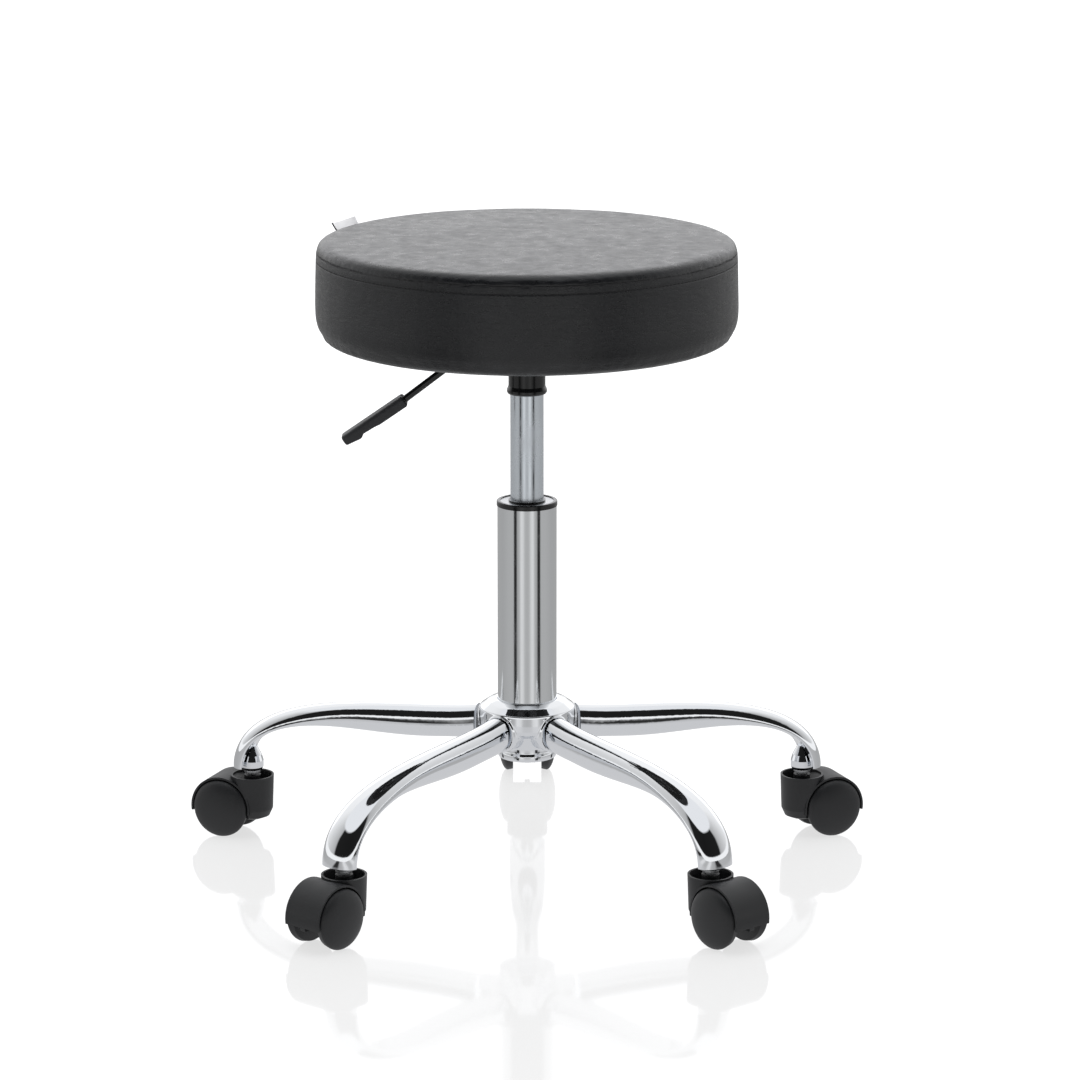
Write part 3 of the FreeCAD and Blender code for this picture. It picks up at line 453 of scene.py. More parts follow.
class Finishes:
    """Every finish of the stool, made once and shared."""

    def __init__(self) -> None:
        """Builds the materials."""
        # mirror chrome: bright, almost white, with crisp dark reflections
        self.chrome = ChromePlate(
            "chrome_plated_steel", "#e9ebee", 0.045, 1.0, grain=0.004, relief=0.000004)
        # the column is chromed over a drawn tube, so its reflections are a little softer
        self.tube_chrome = ChromePlate(
            "chrome_plated_drawn_tube", "#e2e4e6", 0.10, 1.0, grain=0.003, relief=0.000004)
        # hard chrome on the sliding cylinder: bluish, with soft broad highlights
        self.cylinder_chrome = ChromePlate(
            "hard_chromed_cylinder", "#dce2e8", 0.25, 1.0, grain=0.003, relief=0.000004)
        # zinc-plated steel: greyer and softer than chrome
        self.steel = Finish("zinc_plated_steel", "#b4b6b8", 0.28, 1.0, grain=0.0008, relief=0.000008)
        # glass-filled nylon out of a sparked mould: charcoal with a fine dry texture
        self.nylon = Finish("textured_moulded_nylon", "#1c1d1f", 0.5, grain=0.0005, relief=0.00003)
        # soft-touch nylon of the grip: dark grey with a coarser spark texture
        self.grip_nylon = Finish("spark_textured_nylon_grip", "#2b2c2f", 0.5, grain=0.0012, relief=0.00012)
        # gloss ABS: deep black with clear highlights
        self.gloss_plastic = Finish("gloss_moulded_abs", "#0c0c0d", 0.16, grain=0.003, relief=0.000004)
        # gloss black enamel on steel: slightly wavy highlights
        self.enamel = Finish("gloss_black_enamel_on_steel", "#101011", 0.18, grain=0.002, relief=0.000006)
        # vulcanised rubber: dull and dark
        self.rubber = Finish("vulcanised_rubber", "#161616", 0.75, grain=0.0006, relief=0.00003)
        # satin embossed synthetic leather: black with a grey sheen at a low angle
        self.leather = PuLeather("embossed_pu_leather", "#15161a", 0.30, relief=0.00005)
        # raw birch plywood: pale and matt with darker glue lines
        self.plywood = Plywood("birch_plywood", "#d2ab78", 0.62)
        # bonded polypropylene dust cloth: flat black with a faint dimpled grid, drawn at 1.4 mm
        self.dust_cloth = Weave("nonwoven_polypropylene", "#151516", 0.85, relief=0.00008, thread=0.0014)
        # damask woven polyester tape: soft white with fine ribs
        self.tag = Weave("woven_polyester_tape", "#f7f7f9", 0.7, relief=0.00004, thread=0.0006,
                         contrast=0.15)
        self.tag_edge = Finish("black_polyester_thread", "#18181a", 0.6, grain=0.0004, relief=0.00005)
        self._made: dict[str, bpy.types.Material] = {}

    def of(self, finish: Finish) -> bpy.types.Material:
        """The material of a finish, built at its first use."""
        if finish.name not in self._made:
            self._made[finish.name] = finish.material()
        return self._made[finish.name]

    def dress(self, objects: Iterable[bpy.types.Object], finish: Finish) -> None:
        """Gives objects one finish all over.

        Args:
            objects: Objects to dress.
            finish: Their finish.
        """
        for obj in objects:
            obj.data.materials.clear()
            obj.data.materials.append(self.of(finish))


# ---- seat
@dataclass
class SeatCushion:
    """Round upholstered seat: a foam pad in a cover of a top panel sewn to a side band.

    Attributes:
        radius: Radius of the side where it is widest.
        widest: Height of the widest place.
        seam_radius: Radius of the upper seam.
        seam: Height of the upper seam.
        top: Height of the sitting face.
        foot: Height of the underside.
        foot_slope: How far the underside slopes in from the side.
        foot_rise: How far it rises on the way.
        foot_turn: Share of the slope after which it turns up, and by how much per share.
        foot_depth: Up to what height above the underside a point belongs to it.
        rim_round: Size of the rounding of the upper rim.
        foot_round: Size of the rounding of the lower rim.
        slack: How much smaller the form is cut than the filled pad, which swells by that much.
        swell: How far the filling may move a point of the cover.
        unevenness: Share of the swelling's unevenness that shows through the cover.
        crown: How far the middle of the sitting face stands above its rim.
        voxel: Spacing of the cloth's points.
        evening: How many times the filling is evened out between neighbouring points.
        frames: For how many frames the filling swells.
        band: Height and width of the rings whose mean swelling is taken away.
        seam_groove: Depth and half the width of the groove at the upper seam.
        stitch_groove: The same at the topstitching.
        stitch_drop: How far the topstitching lies below the upper seam.
        stitch_pitch: Distance from one stitch to the next.
        stitch_length: Length of a stitch.
        thread: Half the thickness of the thread.
    """

    radius: float = 0.176
    widest: float = 0.484
    seam_radius: float = 0.1747
    seam: float = 0.530
    top: float = 0.538
    foot: float = 0.4503
    foot_slope: float = 0.042
    foot_rise: float = 0.008
    foot_turn: tuple[float, float] = (0.75, 0.02)
    foot_depth: float = 0.012
    rim_round: float = 0.0065
    foot_round: float = 0.017
    slack: float = 0.0025
    swell: float = 0.005
    unevenness: float = 0.2
    crown: float = 0.0012
    voxel: float = 0.004
    evening: int = 14
    frames: int = 20
    band: tuple[float, float] = (0.004, 0.006)
    seam_groove: tuple[float, float] = (0.0010, 0.0007)
    stitch_groove: tuple[float, float] = (0.0006, 0.0006)
    stitch_drop: float = 0.0065
    stitch_pitch: float = 0.0042
    stitch_length: float = 0.003
    thread: float = 0.0004

    def build(self, finishes: Finishes) -> list[bpy.types.Object]:
        """Makes the cushion and its topstitching, and hangs them on the lift.

        Args:
            finishes: The stool's finishes.

        Returns:
            The cushion and the stitches.
        """
        cushion = self.form()
        self.fill(cushion)
        self.settle(cushion)
        finish_with(cushion, "SUBSURF", levels=1, render_levels=1)
        seams = ((self.seam, *self.seam_groove), (self.seam - self.stitch_drop, *self.stitch_groove))
        for height, depth, half_width in seams:
            self.sew(cushion, height, depth, half_width)
        smooth(cushion, 180)
        finishes.dress([cushion], finishes.leather)
        cushion.data.materials.append(finishes.of(finishes.tag_edge))
        for face in cushion.data.polygons:
            if any(abs(face.center.z - height) < half_width for height, _, half_width in seams):
                face.material_index = 1
        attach(cushion, "lift")
        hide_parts("cover_top", "cover_band", "seat_foam")
        stitches = self.stitches(cushion)
        finishes.dress([stitches], finishes.tag_edge)
        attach(stitches, "lift")
        return [cushion, stitches]

    def form(self) -> bpy.types.Object:
        """Shapes the unfilled cushion from a disc.

        Returns:
            The form, remeshed evenly.
        """
        low, high = self.foot, self.top
        bpy.ops.mesh.primitive_cylinder_add(
            vertices=120, radius=self.radius, depth=high - low, location=(0, 0, (high + low) / 2),
        )
        form = named("seat_cushion")
        settle_place(form)
        bpy.ops.object.mode_set(mode="EDIT")
        for height in (self.widest, self.seam):
            bpy.ops.mesh.select_all(action="SELECT")
            bpy.ops.mesh.bisect(plane_co=(0, 0, height), plane_no=(0, 0, 1))
        self.draw_ring(self.seam, self.seam_radius / self.radius)
        self.draw_ring(high, (self.seam_radius - 0.001) / self.radius)
        pick(Part.FACES, lambda middle, normal: normal.z < -0.9)
        bpy.ops.mesh.inset(thickness=self.foot_slope)
        pick(Part.POINTS, lambda point, normal: point.z < low + SNUG
             and point.xy.length > self.radius - 0.01)
        bpy.ops.transform.translate(value=(0, 0, self.foot_rise))
        rims = ((high, self.rim_round, 5), (low + self.foot_rise, self.foot_round, 6))
        for height, size, segments in rims:
            pick(Part.EDGES, lambda middle, along: abs(middle.z - height) < SNUG
                 and middle.xy.length > self.radius - 0.012 and abs(along.z) < 0.1)
            bpy.ops.mesh.bevel(offset=size, segments=segments, profile=0.5, affect="EDGES")
        bpy.ops.object.mode_set(mode="OBJECT")
        finish_with(form, "REMESH", mode="VOXEL", voxel_size=self.voxel)
        finish_with(form, "SMOOTH", factor=0.5, iterations=2)
        return form

    def draw_ring(self, height: float, share: float) -> None:
        """Scales the ring of points at a height towards the axis.

        Args:
            height: Height of the ring.
            share: Its new radius as a share of the old one.
        """
        pick(Part.POINTS, lambda point, normal: abs(point.z - height) < SNUG and point.xy.length > 0.1)
        bpy.ops.transform.resize(value=(share, share, 1), center_override=(0, 0, height))

    def fill(self, cushion: bpy.types.Object) -> None:
        """Fills the form as foam fills its cover, by cloth under pressure, and caps how far a point moves.

        Each ring keeps its own mean width and height, so the pad stays round and to size, and takes on
        the cover's uneven swelling.

        Args:
            cushion: The unfilled form.
        """
        full = [point.co.copy() for point in cushion.data.vertices]
        finish_with(cushion, "DISPLACE", strength=-self.slack, mid_level=0.0)
        steps = self.even_out(self.inflate(cushion), [tuple(edge.vertices) for edge in cushion.data.edges])
        rings: dict[tuple[int, int], list[Vector]] = {}
        places = []
        for start, step in zip(full, steps):
            out = start.xy.normalized() if start.xy.length > 1e-6 else Vector((1, 0))
            ring = (round(start.z / self.band[0]), round(start.xy.length / self.band[1]))
            swollen = Vector((step.xy.dot(out), step.z))
            rings.setdefault(ring, []).append(swollen)
            places.append((out, ring, swollen))
        means = {ring: sum(found, Vector((0, 0))) / len(found) for ring, found in rings.items()}
        for point, start, (out, ring, swollen) in zip(cushion.data.vertices, full, places):
            uneven = (swollen - means[ring]) * self.unevenness
            on_top = start.z > self.seam
            crown = self.crown * (1 - (start.xy.length / self.radius) ** 2) if on_top else 0.0
            point.co = start + Vector((*(out * uneven.x), uneven.y + crown))

    def inflate(self, cushion: bpy.types.Object) -> list[Vector]:
        """Blows the cover up, without gravity.

        Args:
            cushion: The form, cut slack.

        Returns:
            How far each point moved, no further than the cap.
        """
        before = [point.co.copy() for point in cushion.data.vertices]
        take(cushion)
        cloth = cushion.modifiers.new("filling", "CLOTH")
        fabric = {
            "use_pressure": True, "uniform_pressure_force": 4.0, "quality": 5, "tension_stiffness": 15.0,
            "compression_stiffness": 15.0, "shear_stiffness": 5.0, "bending_stiffness": 0.5,
        }
        for name, setting in fabric.items():
            setattr(cloth.settings, name, setting)
        cloth.settings.effector_weights.gravity = 0.0
        cloth.collision_settings.use_collision = False
        cloth.point_cache.frame_end = self.frames
        for frame in range(1, self.frames + 1):
            bpy.context.scene.frame_set(frame)
        bpy.ops.object.modifier_apply(modifier=cloth.name)
        bpy.context.scene.frame_set(1)
        steps = [point.co - start for point, start in zip(cushion.data.vertices, before)]
        furthest = max(step.length for step in steps)
        log.info("filling moved the cover by up to %.1f mm before the cap", furthest * 1000)
        return [step * (self.swell / step.length) if step.length > self.swell else step for step in steps]

    def even_out(self, steps: list[Vector], edges: list[tuple[int, int]]) -> list[Vector]:
        """Averages each point's step with its neighbours', again and again.

        Args:
            steps: How far each point moved.
            edges: Pairs of neighbouring points.

        Returns:
            The evened steps.
        """
        for _ in range(self.evening):
            sums = [step.copy() for step in steps]
            counts = [1] * len(steps)
            for first, second in edges:
                sums[first] += steps[second]
                sums[second] += steps[first]
                counts[first] += 1
                counts[second] += 1
            steps = [total / count for total, count in zip(sums, counts)]
        return steps

    def settle(self, cushion: bpy.types.Object) -> None:
        """Lays the pad's underside on its board and keeps it inside its own height."""
        flat_reach = self.radius - self.foot_slope
        turn_from, turn_rise = self.foot_turn
        for point in cushion.data.vertices:
            if point.co.z < self.foot + self.foot_depth:
                out = max(0.0, point.co.xy.length - flat_reach) / self.foot_slope
                highest = self.foot + out * self.foot_rise + max(0.0, out - turn_from) * turn_rise
                point.co.z = min(point.co.z, highest)
            point.co.z = min(self.top + self.crown, max(self.foot, point.co.z))

    def sew(self, cushion: bpy.types.Object, height: float, depth: float, half_width: float) -> None:
        """Draws a seam in all round as a narrow groove.

        Args:
            cushion: The filled cushion.
            height: Height of the seam.
            depth: How deep the thread draws the cover in.
            half_width: Half the width of the groove.
        """
        take(cushion)
        bpy.ops.object.mode_set(mode="EDIT")
        for level in (height - half_width, height, height + half_width):
            bpy.ops.mesh.select_all(action="SELECT")
            bpy.ops.mesh.bisect(plane_co=(0, 0, level), plane_no=(0, 0, 1))
        pick(Part.POINTS, lambda point, normal: abs(point.z - height) < 1e-6 and point.xy.length > 0.15)
        share = 1 - depth / self.seam_radius
        bpy.ops.transform.resize(value=(share, share, 1), center_override=(0, 0, height))
        bpy.ops.object.mode_set(mode="OBJECT")

    def stitches(self, cushion: bpy.types.Object) -> bpy.types.Object:
        """Lays the topstitching in its seam, one thread loop after another.

        Args:
            cushion: The sewn cushion.

        Returns:
            All the stitches as one piece.
        """
        height = self.seam - self.stitch_drop
        clear_selection()
        bpy.ops.mesh.primitive_uv_sphere_add(segments=8, ring_count=5, radius=self.thread)
        first = named("seat_stitches")
        bpy.ops.object.mode_set(mode="EDIT")
        bpy.ops.mesh.select_all(action="SELECT")
        bpy.ops.transform.resize(value=(0.8, self.stitch_length / (2 * self.thread), 1))
        bpy.ops.object.mode_set(mode="OBJECT")
        count = round(2 * math.pi * self.seam_radius / self.stitch_pitch)
        copies = []
        for number in range(count):
            angle = 2 * math.pi * number / count
            out = Vector((math.cos(angle), math.sin(angle), 0))
            # looks inwards from well outside the seat
            hit, spot, _, _ = cushion.ray_cast(out * 0.3 + Vector((0, 0, height)), -out)
            reach = spot.xy.length if hit else self.seam_radius
            copy = first.copy()
            copy.data = first.data.copy()
            bpy.context.scene.collection.objects.link(copy)
            copy.data.transform(Matrix.Translation(out * (reach + self.thread / 2) + Vector((0, 0, height)))
                                @ Matrix.Rotation(angle, 4, "Z"))
            copies.append(copy)
        bpy.data.objects.remove(first)
        clear_selection()
        for copy in copies:
            copy.select_set(True)
        bpy.context.view_layer.objects.active = copies[0]
        bpy.ops.object.join()
        joined = named("seat_stitches")
        smooth(joined, 180)
        return joined


@dataclass
class SideTag:
    """Blank woven tag, a tape folded double and caught in the upper seam.

    Attributes:
        azimuth: Direction of its middle from the axis, in degrees.
        width: Width of the tape.
        height: How far the folded tag stands out of the seam.
        lean: How far it leans outwards, in degrees from upright.
        root_radius: Distance of its root from the axis.
        root_height: Height of its root.
        fold: Radius of the fold.
        wave: Height of its waviness.
        droop: How far its corners hang back.
    """

    azimuth: float = 149.5
    width: float = 0.034
    height: float = 0.012
    lean: float = 37.0
    root_radius: float = 0.1748
    root_height: float = 0.5298
    fold: float = 0.00035
    wave: float = 0.0011
    droop: float = 0.0010

    def build(self, finishes: Finishes) -> list[bpy.types.Object]:
        """Makes the tag, with a dark strip along one end.

        Args:
            finishes: The stool's finishes.

        Returns:
            The tag.
        """
        clear_selection()
        bpy.ops.mesh.primitive_grid_add(x_subdivisions=24, y_subdivisions=8, size=1)
        tag = named("side_tag")
        tag.scale = (self.width, self.height, 1)
        settle_place(tag)
        bpy.ops.object.mode_set(mode="EDIT")
        top = self.height / 2
        pick(Part.EDGES, lambda middle, along: middle.y > top - 1e-5 and abs(along.x) > 0.9)
        bpy.ops.mesh.spin(steps=6, angle=math.pi, center=(0, top, -self.fold), axis=(-1, 0, 0))
        pick(Part.EDGES, lambda middle, along: abs(middle.z + 2 * self.fold) < 1e-5 and abs(along.x) > 0.9)
        for _ in range(8):
            bpy.ops.mesh.extrude_region_move(
                TRANSFORM_OT_translate={"value": (0, -self.height / 8, 0)},
            )
        bpy.ops.mesh.select_all(action="SELECT")
        bpy.ops.mesh.remove_doubles(threshold=1e-6)
        bpy.ops.mesh.normals_make_consistent(inside=False)
        bpy.ops.object.mode_set(mode="OBJECT")
        for point in tag.data.vertices:
            along, up = point.co.x / self.width, point.co.y / self.height + 0.5
            point.co.z += self.wave * up * math.sin(3.4 * along + 0.6) - self.droop * (2 * along) ** 2 * up
        smooth(tag, 60)
        tag.data.materials.append(finishes.of(finishes.tag))
        tag.data.materials.append(finishes.of(finishes.tag_edge))
        # a dark strip along one end of the tag
        for face in tag.data.polygons:
            if face.center.x > self.width * 0.47:
                face.material_index = 1
        turn = math.radians(self.azimuth)
        root = (self.root_radius * math.cos(turn), self.root_radius * math.sin(turn), self.root_height)
        tag.matrix_world = (
            Matrix.Translation(root)
            @ Matrix.Rotation(turn, 4, "Z")
            @ Matrix.Rotation(math.radians(self.lean), 4, "Y")
            @ Matrix(((0, 0, 1, 0), (1, 0, 0, 0), (0, 1, 0, self.height / 2), (0, 0, 0, 1)))
        )
        settle_place(tag)
        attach(tag, "lift")
        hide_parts("seat_label")
        return [tag]


@dataclass
class DustCloth:
    """Black nonwoven disc stapled over the seat's underside.

    Attributes:
        radius: Radius of its cut edge.
        height: Height of its middle surface.
        thickness: Its thickness.
        staple_count: Number of staples round it.
        pucker: How far its edge lifts between the staples, from nothing at four fifths of its radius.
        rings: Widths of its rings of faces, from the edge inwards.
    """

    radius: float = 0.133
    height: float = 0.45
    thickness: float = 0.0004
    staple_count: int = 24
    pucker: float = 0.00012
    rings: tuple[float, ...] = (0.004, 0.004, 0.006, 0.012, 0.024, 0.03)

    def build(self, finishes: Finishes) -> list[bpy.types.Object]:
        """Makes the cloth, drawn tight between its staples.

        Args:
            finishes: The stool's finishes.

        Returns:
            The cloth.
        """
        clear_selection()
        bpy.ops.mesh.primitive_circle_add(vertices=144, radius=self.radius, fill_type="NGON",
                                          location=(0, 0, self.height))
        cloth = named("dust_cloth_sheet")
        settle_place(cloth)
        bpy.ops.object.mode_set(mode="EDIT")
        for width in self.rings:
            pick(Part.FACES, lambda middle, normal: middle.xy.length < 0.001)
            bpy.ops.mesh.inset(thickness=width)
        bpy.ops.object.mode_set(mode="OBJECT")
        for point in cloth.data.vertices:
            reach = point.co.xy.length / self.radius
            angle = math.atan2(point.co.y, point.co.x)
            lift = self.pucker * math.cos(self.staple_count * angle)
            point.co.z += lift * max(0.0, reach - 0.8) / 0.2
        finish_with(cloth, "SOLIDIFY", thickness=self.thickness, offset=0.0)
        smooth(cloth, 40)
        finishes.dress([cloth], finishes.dust_cloth)
        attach(cloth, "lift")
        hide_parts("base_cloth")
        return [cloth]


# ---- castings and mouldings
@dataclass
class SoftenedCasting:
    """A cast or moulded part whose edges flow into each other, as they leave the foundry or the mould.

    Attributes:
        node: CAD node that it stands for.
        name: Name of the piece.
        body: Body that it rides on.
        slot: Material slot of its finish; not used.
        voxel: Fineness of its surface, in metres.
        rounding: How many times it is smoothed.
        dressing: Distances from the axis as cast and as dressed back, in order, where that changes them.
        thicker: How far its skin stands outside the CAD shape.
    """

    node: str
    name: str
    body: str
    slot: Slot
    voxel: float
    rounding: int
    dressing: tuple[tuple[float, float], ...] = ()
    thicker: float = 0.0

    def build(self, finishes: Finishes, finish: Finish) -> list[bpy.types.Object]:
        """Copies the CAD shape and rounds its edges.

        Args:
            finishes: The stool's finishes.
            finish: The part's own finish.

        Returns:
            The rounded part.
        """
        part = copy_of_node(self.node, self.name)
        finish_with(part, "REMESH", mode="VOXEL", voxel_size=self.voxel)
        if self.thicker:
            finish_with(part, "DISPLACE", strength=self.thicker, mid_level=0.0)
        finish_with(part, "SMOOTH", factor=0.5, iterations=self.rounding)
        for point in part.data.vertices:
            reach = point.co.xy.length
            for (cast, kept), (next_cast, next_kept) in zip(self.dressing, self.dressing[1:]):
                if cast < reach <= next_cast:
                    rise = (reach - cast) * (next_kept - kept) / (next_cast - cast)
                    point.co.xy *= (kept + rise) / reach
        smooth(part, 60)
        finishes.dress([part], finish)
        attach(part, self.body)
        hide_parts(self.node)
        return [part]


# ---- carried-over parts
@dataclass
class CarriedOver:
    """Parts in their CAD shape: each field lists the nodes that get the finish of the same name."""

    chrome: tuple[str, ...] = ("leg_1", "leg_2", "leg_3", "leg_4", "leg_5", "hub", "stem_sockets")
    tube_chrome: tuple[str, ...] = ("column_tube",)
    cylinder_chrome: tuple[str, ...] = ("gas_cylinder", "piston_rod")
    steel: tuple[str, ...] = (
        "bush_retainer", "caster_stems", "lower_race", "upper_race", "bearing_balls", "retaining_clip",
        "mounting_bolts", "tee_nuts", "lever_pin", "cover_staples", "caster_axle_1", "caster_axle_2",
        "caster_axle_3", "caster_axle_4", "caster_axle_5", "piston", "rod_gland", "valve_pin",
    )
    enamel: tuple[str, ...] = ("mechanism_plate", "lever_bracket", "lever_rod", "mechanism_socket")
    gloss_plastic: tuple[str, ...] = ("column_ring", "guide_bush")
    rubber: tuple[str, ...] = ("stop_bumper", "piston_seal")
    plywood: tuple[str, ...] = ("seat_board",)
    leather: tuple[str, ...] = ("seat_foam", "cover_top", "cover_band")
    dust_cloth: tuple[str, ...] = ("base_cloth",)
    tag: tuple[str, ...] = ("seat_label",)
    nylon: tuple[str, ...] = ("lever_grip",)

    def build(self, finishes: Finishes, nodes: dict[str, bpy.types.Object]) -> list[bpy.types.Object]:
        """Dresses every CAD node.

        Args:
            finishes: The stool's finishes.
            nodes: CAD nodes by name.

        Returns:
            The dressed nodes.
        """
        for kind in fields(self):
            dressed = [nodes[name] for name in getattr(self, kind.name)]
            finishes.dress(dressed, getattr(finishes, kind.name))
        casters = (node for name, node in nodes.items() if name.startswith(("caster_hood", "wheel_")))
        finishes.dress(casters, finishes.nylon)
        return list(nodes.values())


# ---- studio
@dataclass
class Studio:
    """White product studio: glossy pale floor, soft light all round and dark flags that draw the chrome.

    Attributes:
        camera_place: Where the camera stands.
        camera_aim: What it looks at.
        lens: Its focal length, in millimetres.
        floor_size: Side of the square floor.
    """

    camera_place: tuple[float, float, float] = (0.0, -3.5124, 1.1294)
    camera_aim: tuple[float, float, float] = (0.0109, 0.0, 0.2824)
    lens: float = 143.0
    floor_size: float = 40.0

    def build(self) -> list[bpy.types.Object]:
        """Makes the camera, floor, lights and surroundings.

        Returns:
            The floor.
        """
        self.add_camera()
        self.add_lights()
        self.add_surroundings()
        floor = self.add_floor()
        bpy.context.scene.view_settings.view_transform = "Standard"
        return [floor]

    def add_camera(self) -> None:
        """Stands the camera and makes it the scene's own."""
        clear_selection()
        bpy.ops.object.camera_add(location=self.camera_place)
        camera = named("studio_camera")
        aim = Vector(self.camera_aim) - Vector(self.camera_place)
        camera.rotation_mode = "QUATERNION"
        camera.rotation_quaternion = aim.to_track_quat("-Z", "Y")
        camera.data.lens = self.lens
        camera.data.sensor_width = 36.0
        camera.data.clip_end = 100.0
        bpy.context.scene.camera = camera

    def add_lights(self) -> None:
        """Hangs a wide soft light overhead and one at either side, which the chrome doesn't mirror."""
        plan = (
            ("overhead_softbox", (0.0, 0.2, 2.6), 2.4, 34.0),
            ("left_softbox", (-2.4, -0.8, 1.7), 1.3, 12.0),
            ("right_softbox", (2.4, -0.8, 1.7), 1.3, 12.0),
        )
        for name, place, size, power in plan:
            clear_selection()
            bpy.ops.object.light_add(type="AREA", location=place)
            light = named(name)
            light.rotation_mode = "QUATERNION"
            light.rotation_quaternion = (Vector((0, 0, 0.3)) - Vector(place)).to_track_quat("-Z", "Y")
            light.data.size = size
            light.data.energy = power
            light.visible_glossy = False

    def add_surroundings(self) -> None:
        """Surrounds the stool with a lit ceiling, white walls and an unlit room in front."""
        world = bpy.data.worlds.new("white_studio")
        bpy.context.scene.world = world
        world.use_nodes = True
        tree = world.node_tree
        tree.nodes.clear()
        outwards = add_node(tree, "TexCoord").outputs["Generated"]
        direction = add_node(tree, "SeparateXYZ", {"Vector": outwards})
        share = self.azimuth_share(tree, direction)
        walls = add_node(tree, "ValToRGB", {"Fac": share})
        self.fill_ramp(walls, (
            (0.0, 0.012), (0.36, 0.015), (0.40, 0.5), (0.55, 0.7), (0.75, 1.0), (1.0, 1.08),
        ))
        above = add_node(tree, "ValToRGB", {"Fac": direction.outputs["Z"]})
        self.fill_ramp(above, ((0.0, 0.0), (0.80, 0.0), (0.84, 1.0)))
        lit = add_node(tree, "MixRGB", {
            "Fac": above.outputs["Color"], "Color1": walls.outputs["Color"],
            "Color2": (0.92, 0.93, 0.95, 1),
        })
        # a brighter strip low on the back wall, which the seat's top mirrors
        behind = add_node(tree, "ValToRGB", {"Fac": share})
        self.fill_ramp(behind, ((0.0, 0.0), (0.72, 0.0), (0.82, 1.0)))
        low = add_node(tree, "ValToRGB", {"Fac": direction.outputs["Z"]})
        self.fill_ramp(low, ((0.0, 1.0), (0.36, 1.0), (0.46, 0.0)))
        strip = add_node(tree, "MixRGB", {
            "Fac": 1.0, "Color1": behind.outputs["Color"], "Color2": low.outputs["Color"],
        }, blend_type="MULTIPLY")
        lit = add_node(tree, "MixRGB", {
            "Fac": strip.outputs["Color"], "Color1": lit.outputs["Color"], "Color2": (1.58, 1.58, 1.62, 1),
        })
        below = add_node(tree, "ValToRGB", {"Fac": direction.outputs["Z"]})
        self.fill_ramp(below, ((0.0, 1.0), (0.13, 1.0), (0.17, 0.0)))
        skirted = add_node(tree, "MixRGB", {
            "Fac": below.outputs["Color"], "Color1": lit.outputs["Color"], "Color2": (1.05, 1.05, 1.05, 1),
        })
        mirrored = add_node(tree, "Background", {"Color": skirted.outputs["Color"], "Strength": 1.0})
        plain = add_node(tree, "Background", {"Color": (1, 1, 1, 1), "Strength": 1.05})
        rays = add_node(tree, "LightPath")
        straight = add_node(tree, "MixShader", {
            0: rays.outputs["Is Camera Ray"], 1: mirrored.outputs[0], 2: plain.outputs[0],
        })
        add_node(tree, "OutputWorld", {"Surface": straight.outputs[0]})

    def azimuth_share(self, tree: bpy.types.NodeTree, direction: bpy.types.Node) -> bpy.types.NodeSocket:
        """Says how far to the side a direction or place lies: 0 in front, 1 behind.

        Args:
            tree: Node tree that gets the nodes.
            direction: Node with the direction's X and Y.

        Returns:
            Socket with the share.
        """
        forward = add_node(tree, "Math", {0: direction.outputs["Y"], 1: -1.0}, operation="MULTIPLY")
        azimuth = add_node(tree, "Math", {
            0: direction.outputs["X"], 1: forward.outputs[0],
        }, operation="ARCTAN2")
        aside = add_node(tree, "Math", {0: azimuth.outputs[0]}, operation="ABSOLUTE")
        return add_node(tree, "Math", {0: aside.outputs[0], 1: math.pi}, operation="DIVIDE").outputs[0]

    def fill_ramp(self, ramp: bpy.types.Node, stops: Iterable[tuple[float, float]]) -> None:
        """Sets a ramp's grey stops.

        Args:
            ramp: The ramp node.
            stops: Place and brightness of each stop, in order.
        """
        steps = ramp.color_ramp.elements
        while len(steps) > 1:
            steps.remove(steps[-1])
        for number, (place, grey) in enumerate(stops):
            step = steps[0] if number == 0 else steps.new(place)
            step.position = place
            step.color = (grey, grey, grey, 1)

    def add_floor(self) -> bpy.types.Object:
        """Lays the floor, a hair below the wheels.

        Returns:
            The floor.
        """
        clear_selection()
        bpy.ops.mesh.primitive_plane_add(size=self.floor_size, location=(0, 0, -0.0002))
        floor = named("studio_floor")
        settle_place(floor)
        floor.data.materials.append(self.floor_material())
        return floor

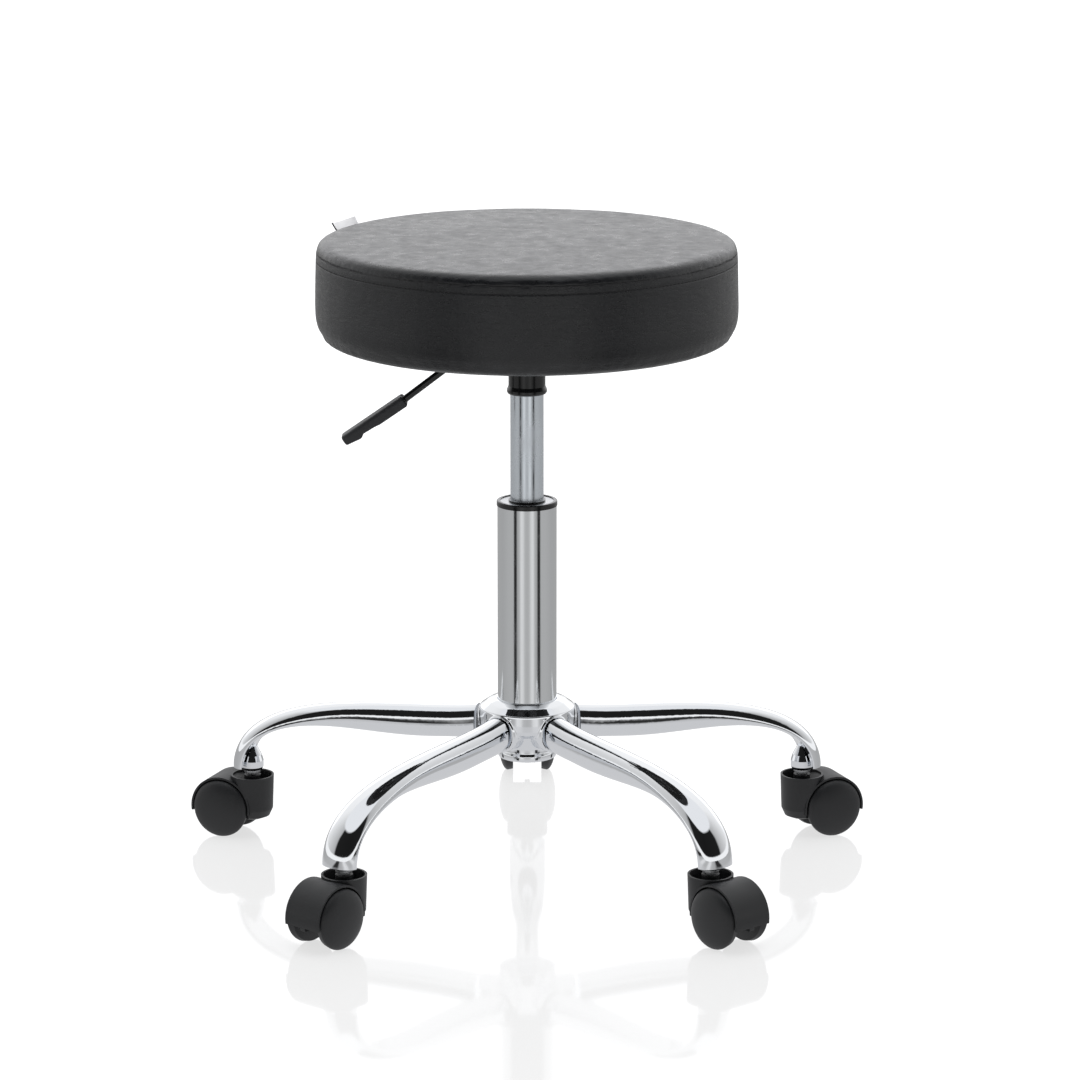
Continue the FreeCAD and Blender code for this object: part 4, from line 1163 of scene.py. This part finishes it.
    def floor_material(self) -> bpy.types.Material:
        """White acrylic sheet, lit from below: faint mirror images, streaks of grey card in the chrome, and
        painted light, a brighter glow under the stool that only rays other than the camera's see.

        Returns:
            The material.
        """
        material = bpy.data.materials.new("white_acrylic_floor")
        material.use_nodes = True
        tree = material.node_tree
        tree.nodes.clear()
        sheet = add_node(tree, "BsdfPrincipled", {
            "Base Color": (0.2, 0.2, 0.2, 1), "Roughness": 0.06, "IOR": 1.36,
            "Emission Color": (1, 1, 1, 1), "Emission Strength": 0.70,
        })
        place = add_node(tree, "SeparateXYZ", {"Vector": add_node(tree, "TexCoord").outputs["Object"]})
        cards = add_node(tree, "ValToRGB", {"Fac": self.azimuth_share(tree, place)})
        degrees = (
            (0, 0.50), (8, 0.54), (15, 0.78), (23, 0.84), (30, 0.52), (38, 0.42), (42, 0.03), (50, 0.03),
            (54, 0.50), (75, 0.50), (105, 0.45), (180, 0.43),
        )
        self.fill_ramp(cards, ((angle / 180, grey) for angle, grey in degrees))
        # painted light: the floor glows brighter under the stool, which the arms' undersides mirror
        spot = add_node(tree, "TexCoord").outputs["Object"]
        reach = add_node(tree, "VectorMath", {0: spot}, operation="LENGTH")
        away = add_node(tree, "MapRange", {
            "Value": reach.outputs["Value"], "From Min": 0.30, "From Max": 0.50,
        })
        painted_light_pool = add_node(tree, "MixRGB", {
            "Fac": away.outputs["Result"], "Color1": (0.68, 0.68, 0.69, 1),
            "Color2": cards.outputs["Color"],
        })
        mirrored = add_node(tree, "Emission", {"Color": painted_light_pool.outputs["Color"], "Strength": 1.0})
        rays = add_node(tree, "LightPath")
        mix = add_node(tree, "MixShader", {
            0: rays.outputs["Is Camera Ray"], 1: mirrored.outputs[0], 2: sheet.outputs[0],
        })
        add_node(tree, "OutputMaterial", {"Surface": mix.outputs[0]})
        return material


def main() -> None:
    """Loads the frame, builds the pieces in order and reports each."""
    logging.basicConfig(level=logging.INFO, format="%(name)s: %(message)s")
    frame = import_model()
    clear_selection()
    finishes = Finishes()
    made: dict[str, list[bpy.types.Object]] = {}
    made["carried-over parts"] = CarriedOver().build(finishes, frame["nodes"])
    hub = SoftenedCasting(
        "hub", "hub_casting", "base", Slot.CHROME, voxel=0.0007, rounding=8,
        dressing=((0.028, 0.028), (0.037, 0.040), (0.048, 0.0425)),
    )
    grip = SoftenedCasting(
        "lever_grip", "grip_moulding", "lever", Slot.NYLON, voxel=0.0005, rounding=9, thicker=0.0012,
    )
    made["hub"] = hub.build(finishes, finishes.chrome)
    made["grip"] = grip.build(finishes, finishes.grip_nylon)
    made["seat cushion"] = SeatCushion().build(finishes)
    made["side tag"] = SideTag().build(finishes)
    made["dust cloth"] = DustCloth().build(finishes)
    made["studio"] = Studio().build()
    for title, objects in made.items():
        triangles = sum(sum(len(face.vertices) - 2 for face in obj.data.polygons) for obj in objects)
        log.info("%s: %d objects, %d triangles", title, len(objects), triangles)
    clear_selection()


if __name__ == "__main__":
    main()
